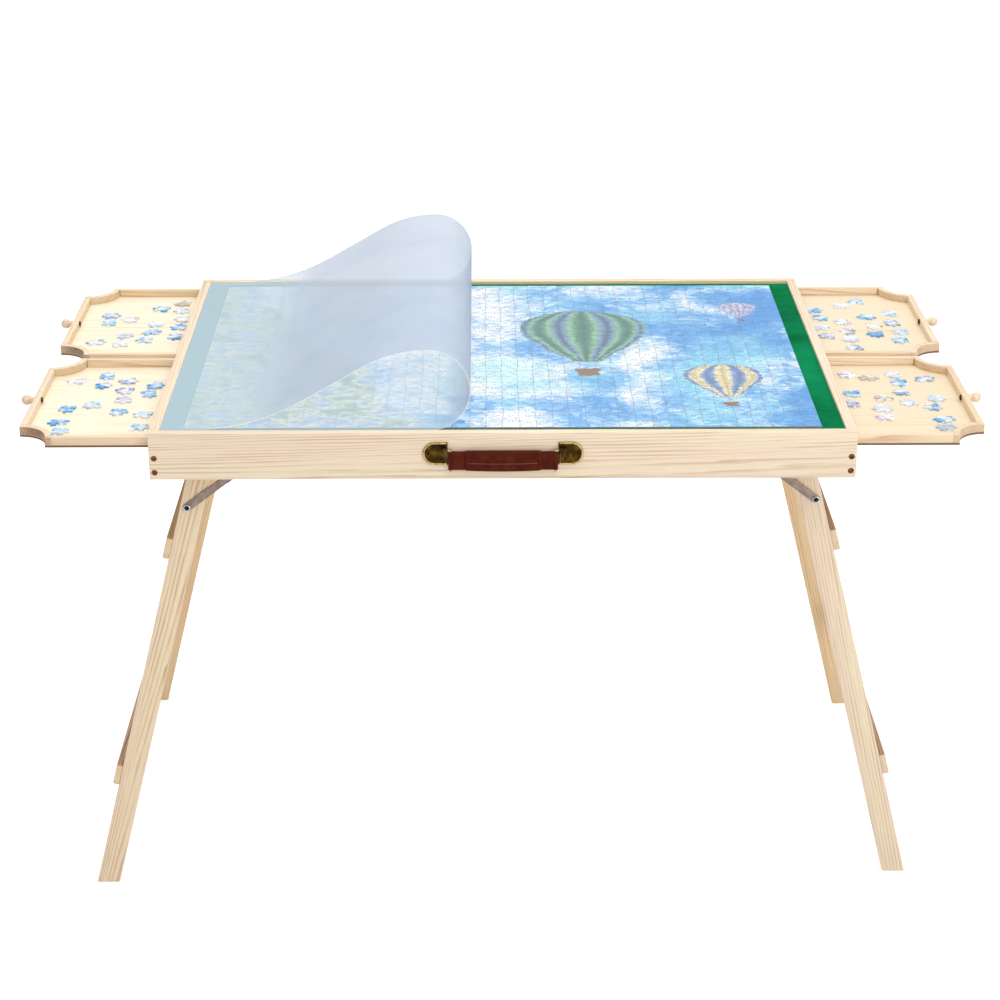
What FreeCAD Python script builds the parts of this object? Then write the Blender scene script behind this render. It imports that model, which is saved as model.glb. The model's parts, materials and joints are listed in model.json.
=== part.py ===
import FreeCAD, Part
import math
import os
import re

# A folding jigsaw table: a shallow pine case on two leg frames that swing flat underneath,
# with four sliding sorting trays, a felt-covered top, a clear cover sheet and a carrying handle.
# X runs along the table, Y from the handle side to the back, Z up from the floor.
# The origin is on the floor under the middle of the case.

# Driving sizes, in millimetres and degrees.
SIZES = {
    "table_length": 838,
    "table_depth": 612,
    "table_height": 638,
    "rail_height": 58,
    "rail_thickness": 12,
    "groove_depth": 5,
    "felt_recess": 4.5,
    "felt_thickness": 1,
    "board_thickness": 3,
    "deck_thickness": 3,
    "divider_width": 12,
    "stop_width": 12,
    "stop_gap": 1,
    "corner_screw_head_radius": 3.7,
    "corner_screw_head_depth": 2.5,
    "corner_screw_radius": 2,
    "corner_screw_length": 45,
    "corner_screw_spacing": 18,
    "drawer_height": 13,
    "drawer_pull": 160,
    "drawer_gap": 0.4,
    "drawer_side_gap": 1,
    "tray_base_thickness": 3,
    "tray_wall": 8,
    "tray_corner_radius": 36,
    "knob_radius": 6.5,
    "knob_neck_radius": 4,
    "knob_neck_length": 3.5,
    "knob_screw_radius": 1.75,
    "knob_screw_bite": 8,
    "knob_screw_head_radius": 3.6,
    "knob_screw_head_height": 1.8,
    "puzzle_end_margin": 27,
    "puzzle_side_margin": 14,
    "puzzle_thickness": 2,
    "cover_side_margin": 2,
    "cover_thickness": 1,
    "cover_gap": 0.3,
    "cover_flat_run": 318,
    "cover_flap_rest": 35,
    "cover_roll_radius": 50,
    "cover_crest_radius": 150,
    "cover_toe_radius": 270,
    "leg_width": 28,
    "leg_thickness": 18,
    "leg_splay": 14.3,
    "leg_top_gap": 1.7,
    "leg_pivot_inset": 60,
    "left_pivot_offset": 0.6,
    "leg_inset": 42,
    "nest_gap": 1,
    "crossbar_width": 28,
    "crossbar_thickness": 8,
    "upper_bar_drop": 119,
    "lower_bar_drop": 443,
    "bar_screw_radius": 1.75,
    "bar_screw_head_radius": 3.5,
    "bar_screw_head_depth": 2,
    "bar_screw_length": 22,
    "pivot_bolt_radius": 3,
    "pivot_head_radius": 5,
    "pivot_head_height": 2,
    "pivot_clearance": 0.05,
    "face_gap": 0.3,
    "cleat_length": 64,
    "cleat_thickness": 22,
    "cleat_height": 29.5,
    "arm_width": 10,
    "arm_thickness": 1.6,
    "lower_arm_length": 61,
    "brace_pin_drop": 69.5,
    "brace_pin_offset": 5.7,
    "brace_pin_radius": 2.5,
    "brace_pin_head_radius": 4.2,
    "brace_pin_head_height": 1.4,
    "brace_pin_length": 14,
    "rivet_radius": 3,
    "rivet_height": 1.2,
    "anchor_rise": 7,
    "anchor_reach": 76.6,
    "anchor_thickness": 1.6,
    "anchor_foot_depth": 16,
    "handle_span": 190,
    "handle_drop": 25.3,
    "plate_length": 29.5,
    "plate_height": 28.4,
    "plate_thickness": 1.8,
    "lug_length": 7,
    "lug_height": 7,
    "lug_depth": 6.5,
    "handle_pivot_rise": 4.8,
    "bail_radius": 1.5,
    "bail_pin_radius": 1.3,
    "bail_gap": 3.4,
    "bail_height": 27.5,
    "bail_top": 1.5,
    "strap_width": 22.6,
    "strap_thickness": 3,
    "strap_eye_wall": 1.4,
    "grip_end_gap": 16.1,
    "grip_wrap": 1.1,
    "grip_thickness": 8,
    "nail_radius": 0.8,
    "nail_head_radius": 1.7,
    "nail_head_height": 0.7,
    "nail_length": 8,
    "cut_overrun": 2,
}

# Shares of the sizes that they follow.
NAIL_ALONG_SHARES = (0.22, 0.72, 0.72)
NAIL_UP_SHARES = (0, 0.26, -0.26)
BAR_SCREW_SHARES = (0.28, 0.72)

# Places worked out from the driving sizes, written as formulas.
END_X = "(table_length / 2)"
FACE_Y = "(table_depth / 2)"
INNER_X = f"({END_X} - rail_thickness)"
INNER_Y = f"({FACE_Y} - rail_thickness)"
TOP_Z = "table_height"
RAIL_FOOT_Z = "(table_height - rail_height)"
FELT_TOP_Z = "(table_height - felt_recess)"
BOARD_TOP_Z = f"({FELT_TOP_Z} - felt_thickness)"
BOARD_FOOT_Z = f"({BOARD_TOP_Z} - board_thickness)"
TRAY_TOP_Z = f"({BOARD_FOOT_Z} - drawer_gap)"
TRAY_FOOT_Z = f"({TRAY_TOP_Z} - drawer_height)"
DECK_TOP_Z = f"({TRAY_FOOT_Z} - drawer_gap)"
DECK_FOOT_Z = f"({DECK_TOP_Z} - deck_thickness)"
PUZZLE_TOP_Z = f"({FELT_TOP_Z} + puzzle_thickness)"
PULL_X = f"({END_X} + drawer_pull)"
TRAY_BACK_X = "(drawer_pull + stop_width / 2 + stop_gap)"
TRAY_NEAR_Y = "(divider_width / 2 + drawer_side_gap)"
TRAY_FAR_Y = f"({INNER_Y} - drawer_side_gap)"
TRAY_CURVE = "(tray_corner_radius + tray_wall)"
TRAY_MIDDLE_Y = f"(({TRAY_NEAR_Y} + {TRAY_FAR_Y}) / 2)"
TRAY_FLOOR_Z = f"({TRAY_FOOT_Z} + tray_base_thickness)"
KNOB_Z = f"({TRAY_FLOOR_Z} + (drawer_height - tray_base_thickness) / 2)"
PIVOT_X = f"({END_X} - leg_pivot_inset)"
ARM_REACH = "(arm_width / 2)"
HANDLE_Z = "(table_height - handle_drop)"
HANDLE_PIVOT_Z = f"({HANDLE_Z} + handle_pivot_rise)"
PLATE_OUTER_X = "(handle_span / 2)"
PLATE_INNER_X = f"({PLATE_OUTER_X} - plate_length)"
PLATE_FRONT_Y = f"(-{FACE_Y} - plate_thickness)"
BAIL_X = f"({PLATE_INNER_X} - bail_gap)"
BAIL_Y = f"({PLATE_FRONT_Y} - lug_depth / 2)"

LEFT, RIGHT = -1, 1
FRONT, REAR = -1, 1
SIDE_NAMES = {LEFT: "left", RIGHT: "right"}
ROW_NAMES = {FRONT: "front", REAR: "rear"}

document = FreeCAD.newDocument("PuzzleTable")
sheet = document.addObject("Spreadsheet::Sheet", "Sizes")
for row, (size_name, size_value) in enumerate(SIZES.items(), start=1):
    sheet.set(f"A{row}", size_name)
    sheet.set(f"B{row}", str(size_value))
    sheet.setAlias(f"B{row}", size_name)
document.recompute()

part_list = []


def formula(text):
    """The text with every size name pointing at its cell of the sheet."""
    return re.sub(r"[a-z_]+", lambda word: f"Sizes.{word[0]}" if word[0] in SIZES else word[0], text)


def bind(item, property_name, text):
    item.setExpression(property_name, formula(text))


def move(item, x, y, z):
    for axis, text in zip("xyz", (x, y, z)):
        bind(item, f"Placement.Base.{axis}", text)


def ordered(side, near, far):
    """A stretch from near to far on the positive side of the middle, or its mirror image."""
    if side > 0:
        return near, far
    return f"-({far})", f"-({near})"


def box(name, x, y, z):
    """A block between the low and high places given for each axis."""
    item = document.addObject("Part::Box", name)
    for property_name, (low, high) in zip(("Length", "Width", "Height"), (x, y, z)):
        bind(item, property_name, f"({high}) - ({low})")
    move(item, x[0], y[0], z[0])
    return item


def rod(name, radius, start, length, axis):
    """A cylinder that runs from start along the given axis."""
    item = document.addObject("Part::Cylinder", name)
    turns = {
        "+X": FreeCAD.Rotation(FreeCAD.Vector(0, 1, 0), 90),
        "-X": FreeCAD.Rotation(FreeCAD.Vector(0, 1, 0), -90),
        "+Y": FreeCAD.Rotation(FreeCAD.Vector(1, 0, 0), -90),
        "-Y": FreeCAD.Rotation(FreeCAD.Vector(1, 0, 0), 90),
        "+Z": FreeCAD.Rotation(),
    }
    item.Placement = FreeCAD.Placement(FreeCAD.Vector(), turns[axis])
    bind(item, "Radius", radius)
    bind(item, "Height", length)
    move(item, *start)
    return item


def outward(side, axis):
    return ("+" if side > 0 else "-") + axis


def fuse(name, *items):
    item = document.addObject("Part::MultiFuse", name)
    item.Shapes = list(items)
    item.Refine = True
    return item


def gather(name, *items):
    """Separate solids kept side by side in one group."""
    item = document.addObject("Part::Compound", name)
    item.Links = list(items)
    return item


def cut(name, base, *tools):
    item = document.addObject("Part::Cut", name)
    item.Base = base
    item.Tool = tools[0] if len(tools) == 1 else gather(f"{name}_tools", *tools)
    return item


def mirror_y(name, source):
    item = document.addObject("Part::Mirroring", name)
    item.Source = source
    item.Normal = FreeCAD.Vector(0, 1, 0)
    return item


def keep(item, label):
    """Marks a finished sub-part; its label is the name of its file."""
    item.Label = label
    part_list.append(item)
    return item


def screw(name, head_radius, head_depth, radius, length, start, axis):
    """A screw whose flat head starts at start and whose shank runs along the axis."""
    head = rod(f"{name}_head", head_radius, start, head_depth, axis)
    shank = rod(f"{name}_shank", radius, start, length, axis)
    return fuse(name, head, shank)


def make_case():
    """The rails, top board, felt, drawer deck, guides and the screws at the corners."""
    board = box("board_blank",
                (f"-({INNER_X} + groove_depth)", f"{INNER_X} + groove_depth"),
                (f"-({INNER_Y} + groove_depth)", f"{INNER_Y} + groove_depth"),
                (BOARD_FOOT_Z, BOARD_TOP_Z))
    keep(board, "top_board")
    felt = box("felt_blank", (f"-{INNER_X}", INNER_X), (f"-{INNER_Y}", INNER_Y), (BOARD_TOP_Z, FELT_TOP_Z))
    keep(felt, "felt_surface")
    deck = box("deck_blank",
               (f"-({INNER_X} + groove_depth)", f"{INNER_X} + groove_depth"),
               (f"-({INNER_Y} + groove_depth)", f"{INNER_Y} + groove_depth"),
               (DECK_FOOT_Z, DECK_TOP_Z))
    keep(deck, "drawer_deck")

    side_middle_z = f"(({DECK_TOP_Z} + {RAIL_FOOT_Z}) / 2)"
    screws = []
    for side in (LEFT, RIGHT):
        for end in (FRONT, REAR):
            for level in (-1, 1):
                start = (f"{side} * ({END_X} - rail_thickness / 2)", f"{end} * {FACE_Y}",
                         f"{side_middle_z} + {level} * corner_screw_spacing / 2")
                screws.append(screw(f"corner_screw_{len(screws)}", "corner_screw_head_radius",
                                    "corner_screw_head_depth", "corner_screw_radius",
                                    "corner_screw_length", start, outward(-end, "Y")))
    corner_screws = keep(gather("corner_screw_group", *screws), "corner_screws")

    for end, label in ((FRONT, "front_rail"), (REAR, "back_rail")):
        blank = box(f"{label}_blank", (f"-{END_X}", END_X), ordered(end, INNER_Y, FACE_Y),
                    (RAIL_FOOT_Z, TOP_Z))
        tools = [board, deck, corner_screws]
        if end == FRONT:
            tools.append(make_handle_plates())
        keep(cut(f"{label}_cut", blank, *tools), label)

    strips = []
    for side in (LEFT, RIGHT):
        label = f"side_rail_{SIDE_NAMES[side]}"
        blank = box(f"{label}_blank", ordered(side, INNER_X, END_X), (f"-{INNER_Y}", INNER_Y),
                    (RAIL_FOOT_Z, DECK_TOP_Z))
        keep(cut(f"{label}_cut", blank, deck, corner_screws), label)
        strip = box(f"side_strip_{SIDE_NAMES[side]}", ordered(side, INNER_X, END_X),
                    (f"-{INNER_Y}", INNER_Y), (BOARD_FOOT_Z, TOP_Z))
        strips.append(cut(f"side_strip_{SIDE_NAMES[side]}_cut", strip, board))
    keep(gather("side_strip_group", *strips), "side_strips")

    divider = box("divider_blank", (f"-{END_X}", END_X), ("-divider_width / 2", "divider_width / 2"),
                  (DECK_TOP_Z, BOARD_FOOT_Z))
    keep(divider, "center_divider")
    stops = [box(f"stop_{ROW_NAMES[end]}", ("-stop_width / 2", "stop_width / 2"),
                 ordered(end, "divider_width / 2", INNER_Y), (DECK_TOP_Z, BOARD_FOOT_Z))
             for end in (FRONT, REAR)]
    keep(gather("stop_group", *stops), "drawer_stops")
    puzzle = box("puzzle_blank", (f"-({INNER_X} - puzzle_end_margin)", f"{INNER_X} - puzzle_end_margin"),
                 (f"-({INNER_Y} - puzzle_side_margin)", f"{INNER_Y} - puzzle_side_margin"),
                 (FELT_TOP_Z, PUZZLE_TOP_Z))
    keep(puzzle, "puzzle_panel")


def make_handle_plates():
    """The two D-shaped end plates with a lug each, and the nails that hold them. Returns the nails."""
    plates, nails = [], []
    plate_radius = "(plate_height / 2)"
    for side in (LEFT, RIGHT):
        name = SIDE_NAMES[side]
        flat = box(f"plate_flat_{name}", ordered(side, PLATE_INNER_X, f"{PLATE_OUTER_X} - {plate_radius}"),
                   (PLATE_FRONT_Y, f"-{FACE_Y}"),
                   (f"{HANDLE_Z} - {plate_radius}", f"{HANDLE_Z} + {plate_radius}"))
        nose = rod(f"plate_nose_{name}", plate_radius,
                   (f"{side} * ({PLATE_OUTER_X} - {plate_radius})", f"-{FACE_Y}", HANDLE_Z),
                   "plate_thickness", "-Y")
        lug = box(f"plate_lug_{name}", ordered(side, PLATE_INNER_X, f"{PLATE_INNER_X} + lug_length"),
                  (f"{PLATE_FRONT_Y} - lug_depth", f"-{FACE_Y}"),
                  (f"{HANDLE_PIVOT_Z} - lug_height / 2", f"{HANDLE_PIVOT_Z} + lug_height / 2"))
        bore = rod(f"plate_bore_{name}", "bail_pin_radius + pivot_clearance",
                   (f"{side} * ({PLATE_INNER_X} - cut_overrun)", BAIL_Y, HANDLE_PIVOT_Z),
                   "lug_length + 2 * cut_overrun", outward(side, "X"))
        own_nails = []
        for along_share, up_share in zip(NAIL_ALONG_SHARES, NAIL_UP_SHARES):
            start = (f"{side} * ({PLATE_OUTER_X} - {along_share} * plate_length)",
                     f"{PLATE_FRONT_Y} - nail_head_height", f"{HANDLE_Z} + {up_share} * plate_height")
            own_nails.append(screw(f"nail_{name}_{len(own_nails)}", "nail_head_radius", "nail_head_height",
                                   "nail_radius", "nail_length", start, "+Y"))
        plates.append(cut(f"plate_{name}", fuse(f"plate_body_{name}", flat, nose, lug), bore, *own_nails))
        nails.extend(own_nails)
    keep(gather("plate_group", *plates), "handle_plates")
    return keep(gather("nail_group", *nails), "handle_nails")


def make_handle():
    """The leather strap with its stitched grip, and the wire bail at each end that swings in a lug."""
    bails, eyes = [], []
    bail_top_z = f"({HANDLE_PIVOT_Z} + bail_top)"
    strap_foot_z = f"({bail_top_z} - bail_height / 2 - strap_width / 2)"
    strap_top_z = f"({bail_top_z} - bail_height / 2 + strap_width / 2)"
    for side in (LEFT, RIGHT):
        name = SIDE_NAMES[side]
        foot = (f"{side} * {BAIL_X}", BAIL_Y, f"{bail_top_z} - bail_height")
        bar = rod(f"bail_bar_{name}", "bail_radius", foot, "bail_height", "+Z")
        pin = rod(f"bail_pin_{name}", "bail_pin_radius", (f"{side} * {BAIL_X}", BAIL_Y, HANDLE_PIVOT_Z),
                  "bail_gap + lug_length", outward(side, "X"))
        bails.append(fuse(f"bail_{name}", bar, pin))
        eyes.append(rod(f"strap_eye_{name}", "bail_radius + strap_eye_wall",
                        (f"{side} * {BAIL_X}", BAIL_Y, strap_foot_z), "strap_width", "+Z"))
    keep(gather("bail_group", *bails), "handle_bails")
    web = box("strap_web", (f"-{BAIL_X}", BAIL_X),
              (f"{BAIL_Y} - strap_thickness / 2", f"{BAIL_Y} + strap_thickness / 2"),
              (strap_foot_z, strap_top_z))
    strap = keep(cut("strap_cut", fuse("strap_body", web, *eyes), *bails), "handle_strap")
    grip = box("grip_blank", (f"-({BAIL_X} - grip_end_gap)", f"{BAIL_X} - grip_end_gap"),
               (f"{BAIL_Y} - grip_thickness / 2", f"{BAIL_Y} + grip_thickness / 2"),
               (f"{strap_foot_z} - grip_wrap", f"{strap_top_z} + grip_wrap"))
    keep(cut("grip_cut", grip, strap), "handle_grip")


def make_drawer(side, end):
    """One sorting tray: a plywood base, walls with scooped outer corners, a knob and its screw."""
    name = f"{ROW_NAMES[end]}_{SIDE_NAMES[side]}"
    near_y, far_y = ordered(end, TRAY_NEAR_Y, TRAY_FAR_Y)
    walls_z = (TRAY_FLOOR_Z, TRAY_TOP_Z)

    def corner_rod(rod_name, radius, corner_y, foot_z, height):
        return rod(rod_name, radius, (f"{side} * {PULL_X}", corner_y, foot_z), height, "+Z")

    base = box(f"base_{name}", ordered(side, TRAY_BACK_X, PULL_X), (near_y, far_y),
               (TRAY_FOOT_Z, TRAY_FLOOR_Z))
    scoops = [corner_rod(f"scoop_{name}_{place}", "tray_corner_radius", corner_y,
                         f"{TRAY_FOOT_Z} - cut_overrun", "drawer_height + 2 * cut_overrun")
              for place, corner_y in (("near", near_y), ("far", far_y))]
    keep(cut(f"base_cut_{name}", base, *scoops), f"drawer_base_{name}")

    blocks = []
    for place, corner_y in (("near", near_y), ("far", far_y)):
        ring = corner_rod(f"ring_{name}_{place}", TRAY_CURVE, corner_y, TRAY_FLOOR_Z,
                          "drawer_height - tray_base_thickness")
        quarter = document.addObject("Part::Common", f"quarter_{name}_{place}")
        block_y = (near_y, f"({near_y}) + {TRAY_CURVE}")
        if place == "far":
            block_y = (f"({far_y}) - {TRAY_CURVE}", far_y)
        quarter.Base = ring
        quarter.Tool = box(f"quadrant_{name}_{place}", ordered(side, f"{PULL_X} - {TRAY_CURVE}", PULL_X),
                           block_y, walls_z)
        blocks.append(cut(f"block_{name}_{place}", quarter, *scoops))
    keep(gather(f"block_group_{name}", *blocks), f"drawer_corners_{name}")

    wall_x = ordered(side, TRAY_BACK_X, f"{PULL_X} - {TRAY_CURVE}")
    back_x = ordered(side, TRAY_BACK_X, f"{TRAY_BACK_X} + tray_wall")
    inner_y = (f"({near_y}) + tray_wall", f"({far_y}) - tray_wall")
    walls = [box(f"wall_{name}_near", wall_x, (near_y, inner_y[0]), walls_z),
             box(f"wall_{name}_far", wall_x, (inner_y[1], far_y), walls_z),
             box(f"wall_{name}_back", back_x, inner_y, walls_z)]
    keep(gather(f"wall_group_{name}", *walls), f"drawer_walls_{name}")

    knob_y = f"{end} * {TRAY_MIDDLE_Y}"
    inner_face_x = f"({PULL_X} - tray_wall)"
    head_x = f"({inner_face_x} - knob_screw_head_height)"
    knob_screw = screw(f"knob_screw_{name}_body", "knob_screw_head_radius", "knob_screw_head_height",
                       "knob_screw_radius", "knob_screw_head_height + tray_wall + knob_screw_bite",
                       (f"{side} * {head_x}", knob_y, KNOB_Z), outward(side, "X"))
    keep(knob_screw, f"knob_screw_{name}")
    panel = box(f"panel_{name}", ordered(side, inner_face_x, PULL_X),
                (f"({near_y}) + {TRAY_CURVE}", f"({far_y}) - {TRAY_CURVE}"), walls_z)
    keep(cut(f"panel_cut_{name}", panel, knob_screw), f"drawer_end_{name}")

    neck = rod(f"knob_neck_{name}", "knob_neck_radius", (f"{side} * {PULL_X}", knob_y, KNOB_Z),
               "knob_neck_length + knob_radius / 2", outward(side, "X"))
    ball = document.addObject("Part::Sphere", f"knob_ball_{name}")
    seam_turn = 0 if side == RIGHT else 180
    ball.Placement = FreeCAD.Placement(FreeCAD.Vector(), FreeCAD.Rotation(FreeCAD.Vector(0, 0, 1), seam_turn))
    bind(ball, "Radius", "knob_radius")
    move(ball, f"{side} * ({PULL_X} + knob_neck_length + knob_radius)", knob_y, KNOB_Z)
    keep(cut(f"knob_cut_{name}", fuse(f"knob_body_{name}", neck, ball), knob_screw), f"knob_{name}")


def make_leg_frame(side):
    """Two splayed legs with slats across their outer faces, the screws, brace pins and stays.

    Returns what stays on the case: the pivot bolts, the cleats and the brace anchors.
    """
    name = SIDE_NAMES[side]
    nested = "0" if side == LEFT else "(leg_thickness + nest_gap)"
    outer_y = f"({FACE_Y} - leg_inset - {nested})"
    inner_y = f"({outer_y} - leg_thickness)"
    lowered = "left_pivot_offset" if side == LEFT else "0"
    pivot_z = f"({DECK_FOOT_Z} - leg_top_gap - leg_width / 2 - {lowered})"
    leg_reach = f"({pivot_z} / cos(leg_splay) + leg_width)"
    tilt = f"{-side} * leg_splay"

    def lean(item):
        """Turns a piece drawn about the pivot, hanging straight down, to the splay of the legs."""
        item.Placement = FreeCAD.Placement(FreeCAD.Vector(), FreeCAD.Rotation(FreeCAD.Vector(0, 1, 0), 1))
        move(item, f"{side} * {PIVOT_X}", "0", pivot_z)
        bind(item, "Placement.Rotation.Angle", tilt)
        return item

    def hanging(item_name, x, y, z):
        """A block drawn about the pivot, held in a group that can then be turned about it."""
        return lean(gather(item_name, box(f"{item_name}_blank", x, y, z)))

    def leg_center_x(height):
        return f"{side} * ({PIVOT_X} + ({pivot_z} - ({height})) * tan(leg_splay))"

    floor_box = box(f"floor_{name}", (f"-{END_X} - table_height", f"{END_X} + table_height"),
                    (f"-{FACE_Y}", FACE_Y), ("-table_height", "0"))
    pin_z = f"({pivot_z} - brace_pin_drop)"
    pin_x = f"({leg_center_x(pin_z)} + {side} * brace_pin_offset)"

    bars = [hanging(f"bar_{place}_{name}",
                    ordered(side, "leg_width / 2", "leg_width / 2 + crossbar_thickness"),
                    (f"-{outer_y}", outer_y), (f"-{bar_drop} - crossbar_width", f"-{bar_drop}"))
            for place, bar_drop in (("upper", "upper_bar_drop"), ("lower", "lower_bar_drop"))]
    bar_screws = []
    for end in (FRONT, REAR):
        for place, bar_drop in (("upper", "upper_bar_drop"), ("lower", "lower_bar_drop")):
            for share in BAR_SCREW_SHARES:
                start = (f"{side} * (leg_width / 2 + crossbar_thickness)",
                         f"{end} * ({outer_y} - leg_thickness / 2)",
                         f"-{bar_drop} - {share} * crossbar_width")
                one = screw(f"bar_screw_{name}_{len(bar_screws)}", "bar_screw_head_radius",
                            "bar_screw_head_depth", "bar_screw_radius", "bar_screw_length", start,
                            outward(-side, "X"))
                bar_screws.append(lean(one))
    keep(gather(f"bar_screw_group_{name}", *bar_screws), f"crossbar_screws_{name}")
    keep(gather(f"bar_group_{name}", *[cut(f"bar_cut_{place}_{name}", bar, *bar_screws)
                                       for place, bar in zip(("upper", "lower"), bars)]), f"crossbars_{name}")

    bolts, cleats, pins = [], [], []
    for end in (FRONT, REAR):
        row = ROW_NAMES[end]
        body = fuse(f"leg_body_{row}_{name}",
                    box(f"leg_blank_{row}_{name}", ("-leg_width / 2", "leg_width / 2"),
                        ordered(end, inner_y, outer_y), (f"-{leg_reach}", "0")),
                    rod(f"leg_crown_{row}_{name}", "leg_width / 2", ("0", f"{end} * {outer_y}", "0"),
                        "leg_thickness", outward(-end, "Y")))
        lean(body)
        pivot = (f"{side} * {PIVOT_X}", f"{end} * ({outer_y} + face_gap + pivot_head_height)", pivot_z)
        bolt_length = "pivot_head_height + 2 * face_gap + leg_thickness + cleat_thickness"
        bolt = screw(f"pivot_bolt_{row}_{name}", "pivot_head_radius", "pivot_head_height",
                     "pivot_bolt_radius", bolt_length, pivot, outward(-end, "Y"))
        bolts.append(bolt)
        pivot_bore = rod(f"pivot_bore_{row}_{name}", "pivot_bolt_radius + pivot_clearance", pivot,
                         bolt_length, outward(-end, "Y"))
        pin_head_y = f"({outer_y} + 2 * face_gap + arm_thickness + brace_pin_head_height)"
        pin = screw(f"brace_pin_{row}_{name}", "brace_pin_head_radius", "brace_pin_head_height",
                    "brace_pin_radius", "brace_pin_length", (pin_x, f"{end} * {pin_head_y}", pin_z),
                    outward(-end, "Y"))
        pins.append(pin)
        keep(cut(f"leg_cut_{row}_{name}", body, floor_box, pivot_bore, pin, *bar_screws), f"leg_{row}_{name}")
        cleat = box(f"cleat_blank_{row}_{name}",
                    ordered(side, f"{PIVOT_X} - cleat_length / 2", f"{PIVOT_X} + cleat_length / 2"),
                    ordered(end, f"{inner_y} - face_gap - cleat_thickness", f"{inner_y} - face_gap"),
                    (f"{DECK_FOOT_Z} - cleat_height", DECK_FOOT_Z))
        cleats.append(cut(f"cleat_{row}_{name}", cleat, bolt))
    keep(gather(f"pin_group_{name}", *pins), f"brace_pins_{name}")
    anchors = make_brace(side, outer_y, pivot_z, pin_x, pin_z)
    return bolts, cleats, anchors


def make_brace(side, outer_y, pivot_z, pin_x, pin_z):
    """The two-armed folding stay beside each leg, straight and locked. Returns its angle plates."""
    name = SIDE_NAMES[side]
    anchor_x = f"({side} * ({PIVOT_X} - anchor_reach))"
    anchor_z = f"({pivot_z} + anchor_rise)"
    rise = f"({anchor_z} - {pin_z})"
    run = f"({side} * ({pin_x} - {anchor_x}))"
    upper_length = f"(hypot({run}; {rise}) - lower_arm_length)"
    heading = f"atan2({rise}; {-side} * {run})"
    lower_y = f"({outer_y} + face_gap)"
    upper_y = f"({lower_y} + arm_thickness + face_gap)"
    flange_y = f"({upper_y} + arm_thickness + face_gap)"

    def arm(arm_name, length, start_y, bore_radius, bore_x, rivet_x):
        """A flat bar with round ends along X, drawn at the front, with one pivot hole and perhaps a rivet."""
        face = f"-({start_y} + arm_thickness)"
        shank = box(f"{arm_name}_shank", ("0", length), (face, f"-{start_y}"), (f"-{ARM_REACH}", ARM_REACH))
        ends = [rod(f"{arm_name}_end_{place}", ARM_REACH, (x, face, "0"), "arm_thickness", "+Y")
                for place, x in (("near", "0"), ("far", length))]
        pieces = [shank, *ends]
        if rivet_x is not None:
            pieces.append(rod(f"{arm_name}_rivet", "rivet_radius", (rivet_x, f"-{start_y}", "0"),
                              "arm_thickness + rivet_height", "-Y"))
        bore = rod(f"{arm_name}_bore", bore_radius, (bore_x, f"{face} - cut_overrun", "0"),
                   "arm_thickness + 2 * cut_overrun", "+Y")
        item = cut(arm_name, fuse(f"{arm_name}_body", *pieces), bore)
        item.Placement = FreeCAD.Placement(FreeCAD.Vector(), FreeCAD.Rotation(FreeCAD.Vector(0, -1, 0), 1))
        bind(item, "Placement.Rotation.Angle", heading)
        return item

    bore_radius = "brace_pin_radius + pivot_clearance"
    lower = arm(f"lower_arm_{name}", "lower_arm_length", lower_y, bore_radius, "0", None)
    move(lower, pin_x, "0", pin_z)
    lower_pair = gather(f"lower_arms_{name}", lower, mirror_y(f"lower_arm_rear_{name}", lower))
    keep(lower_pair, f"brace_lower_{name}")

    upper = arm(f"upper_arm_{name}", upper_length, upper_y, bore_radius, upper_length, "0")
    move(upper, f"{pin_x} - {side} * lower_arm_length * cos(abs(atan2({rise}; {run})))", "0",
         f"{pin_z} + lower_arm_length * sin(abs(atan2({rise}; {run})))")
    upper_pair = gather(f"upper_arms_{name}", upper, mirror_y(f"upper_arm_rear_{name}", upper))
    keep(upper_pair, f"brace_upper_{name}")

    anchor = fuse(
        f"anchor_{name}",
        box(f"anchor_flange_{name}", (f"{anchor_x} - {ARM_REACH}", f"{anchor_x} + {ARM_REACH}"),
            (f"-({flange_y} + anchor_thickness)", f"-{flange_y}"), (anchor_z, DECK_FOOT_Z)),
        rod(f"anchor_eye_{name}", ARM_REACH, (anchor_x, f"-{flange_y}", anchor_z), "anchor_thickness", "-Y"),
        box(f"anchor_foot_{name}", (f"{anchor_x} - {ARM_REACH}", f"{anchor_x} + {ARM_REACH}"),
            (f"-({flange_y} + anchor_foot_depth)", f"-{flange_y}"),
            (f"{DECK_FOOT_Z} - anchor_thickness", DECK_FOOT_Z)),
        rod(f"anchor_stud_{name}", "brace_pin_radius", (anchor_x, f"-{flange_y}", anchor_z),
            "face_gap + arm_thickness", "+Y"))
    return [anchor, mirror_y(f"anchor_rear_{name}", anchor)]


def size(name):
    return sheet.get(name)


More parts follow.
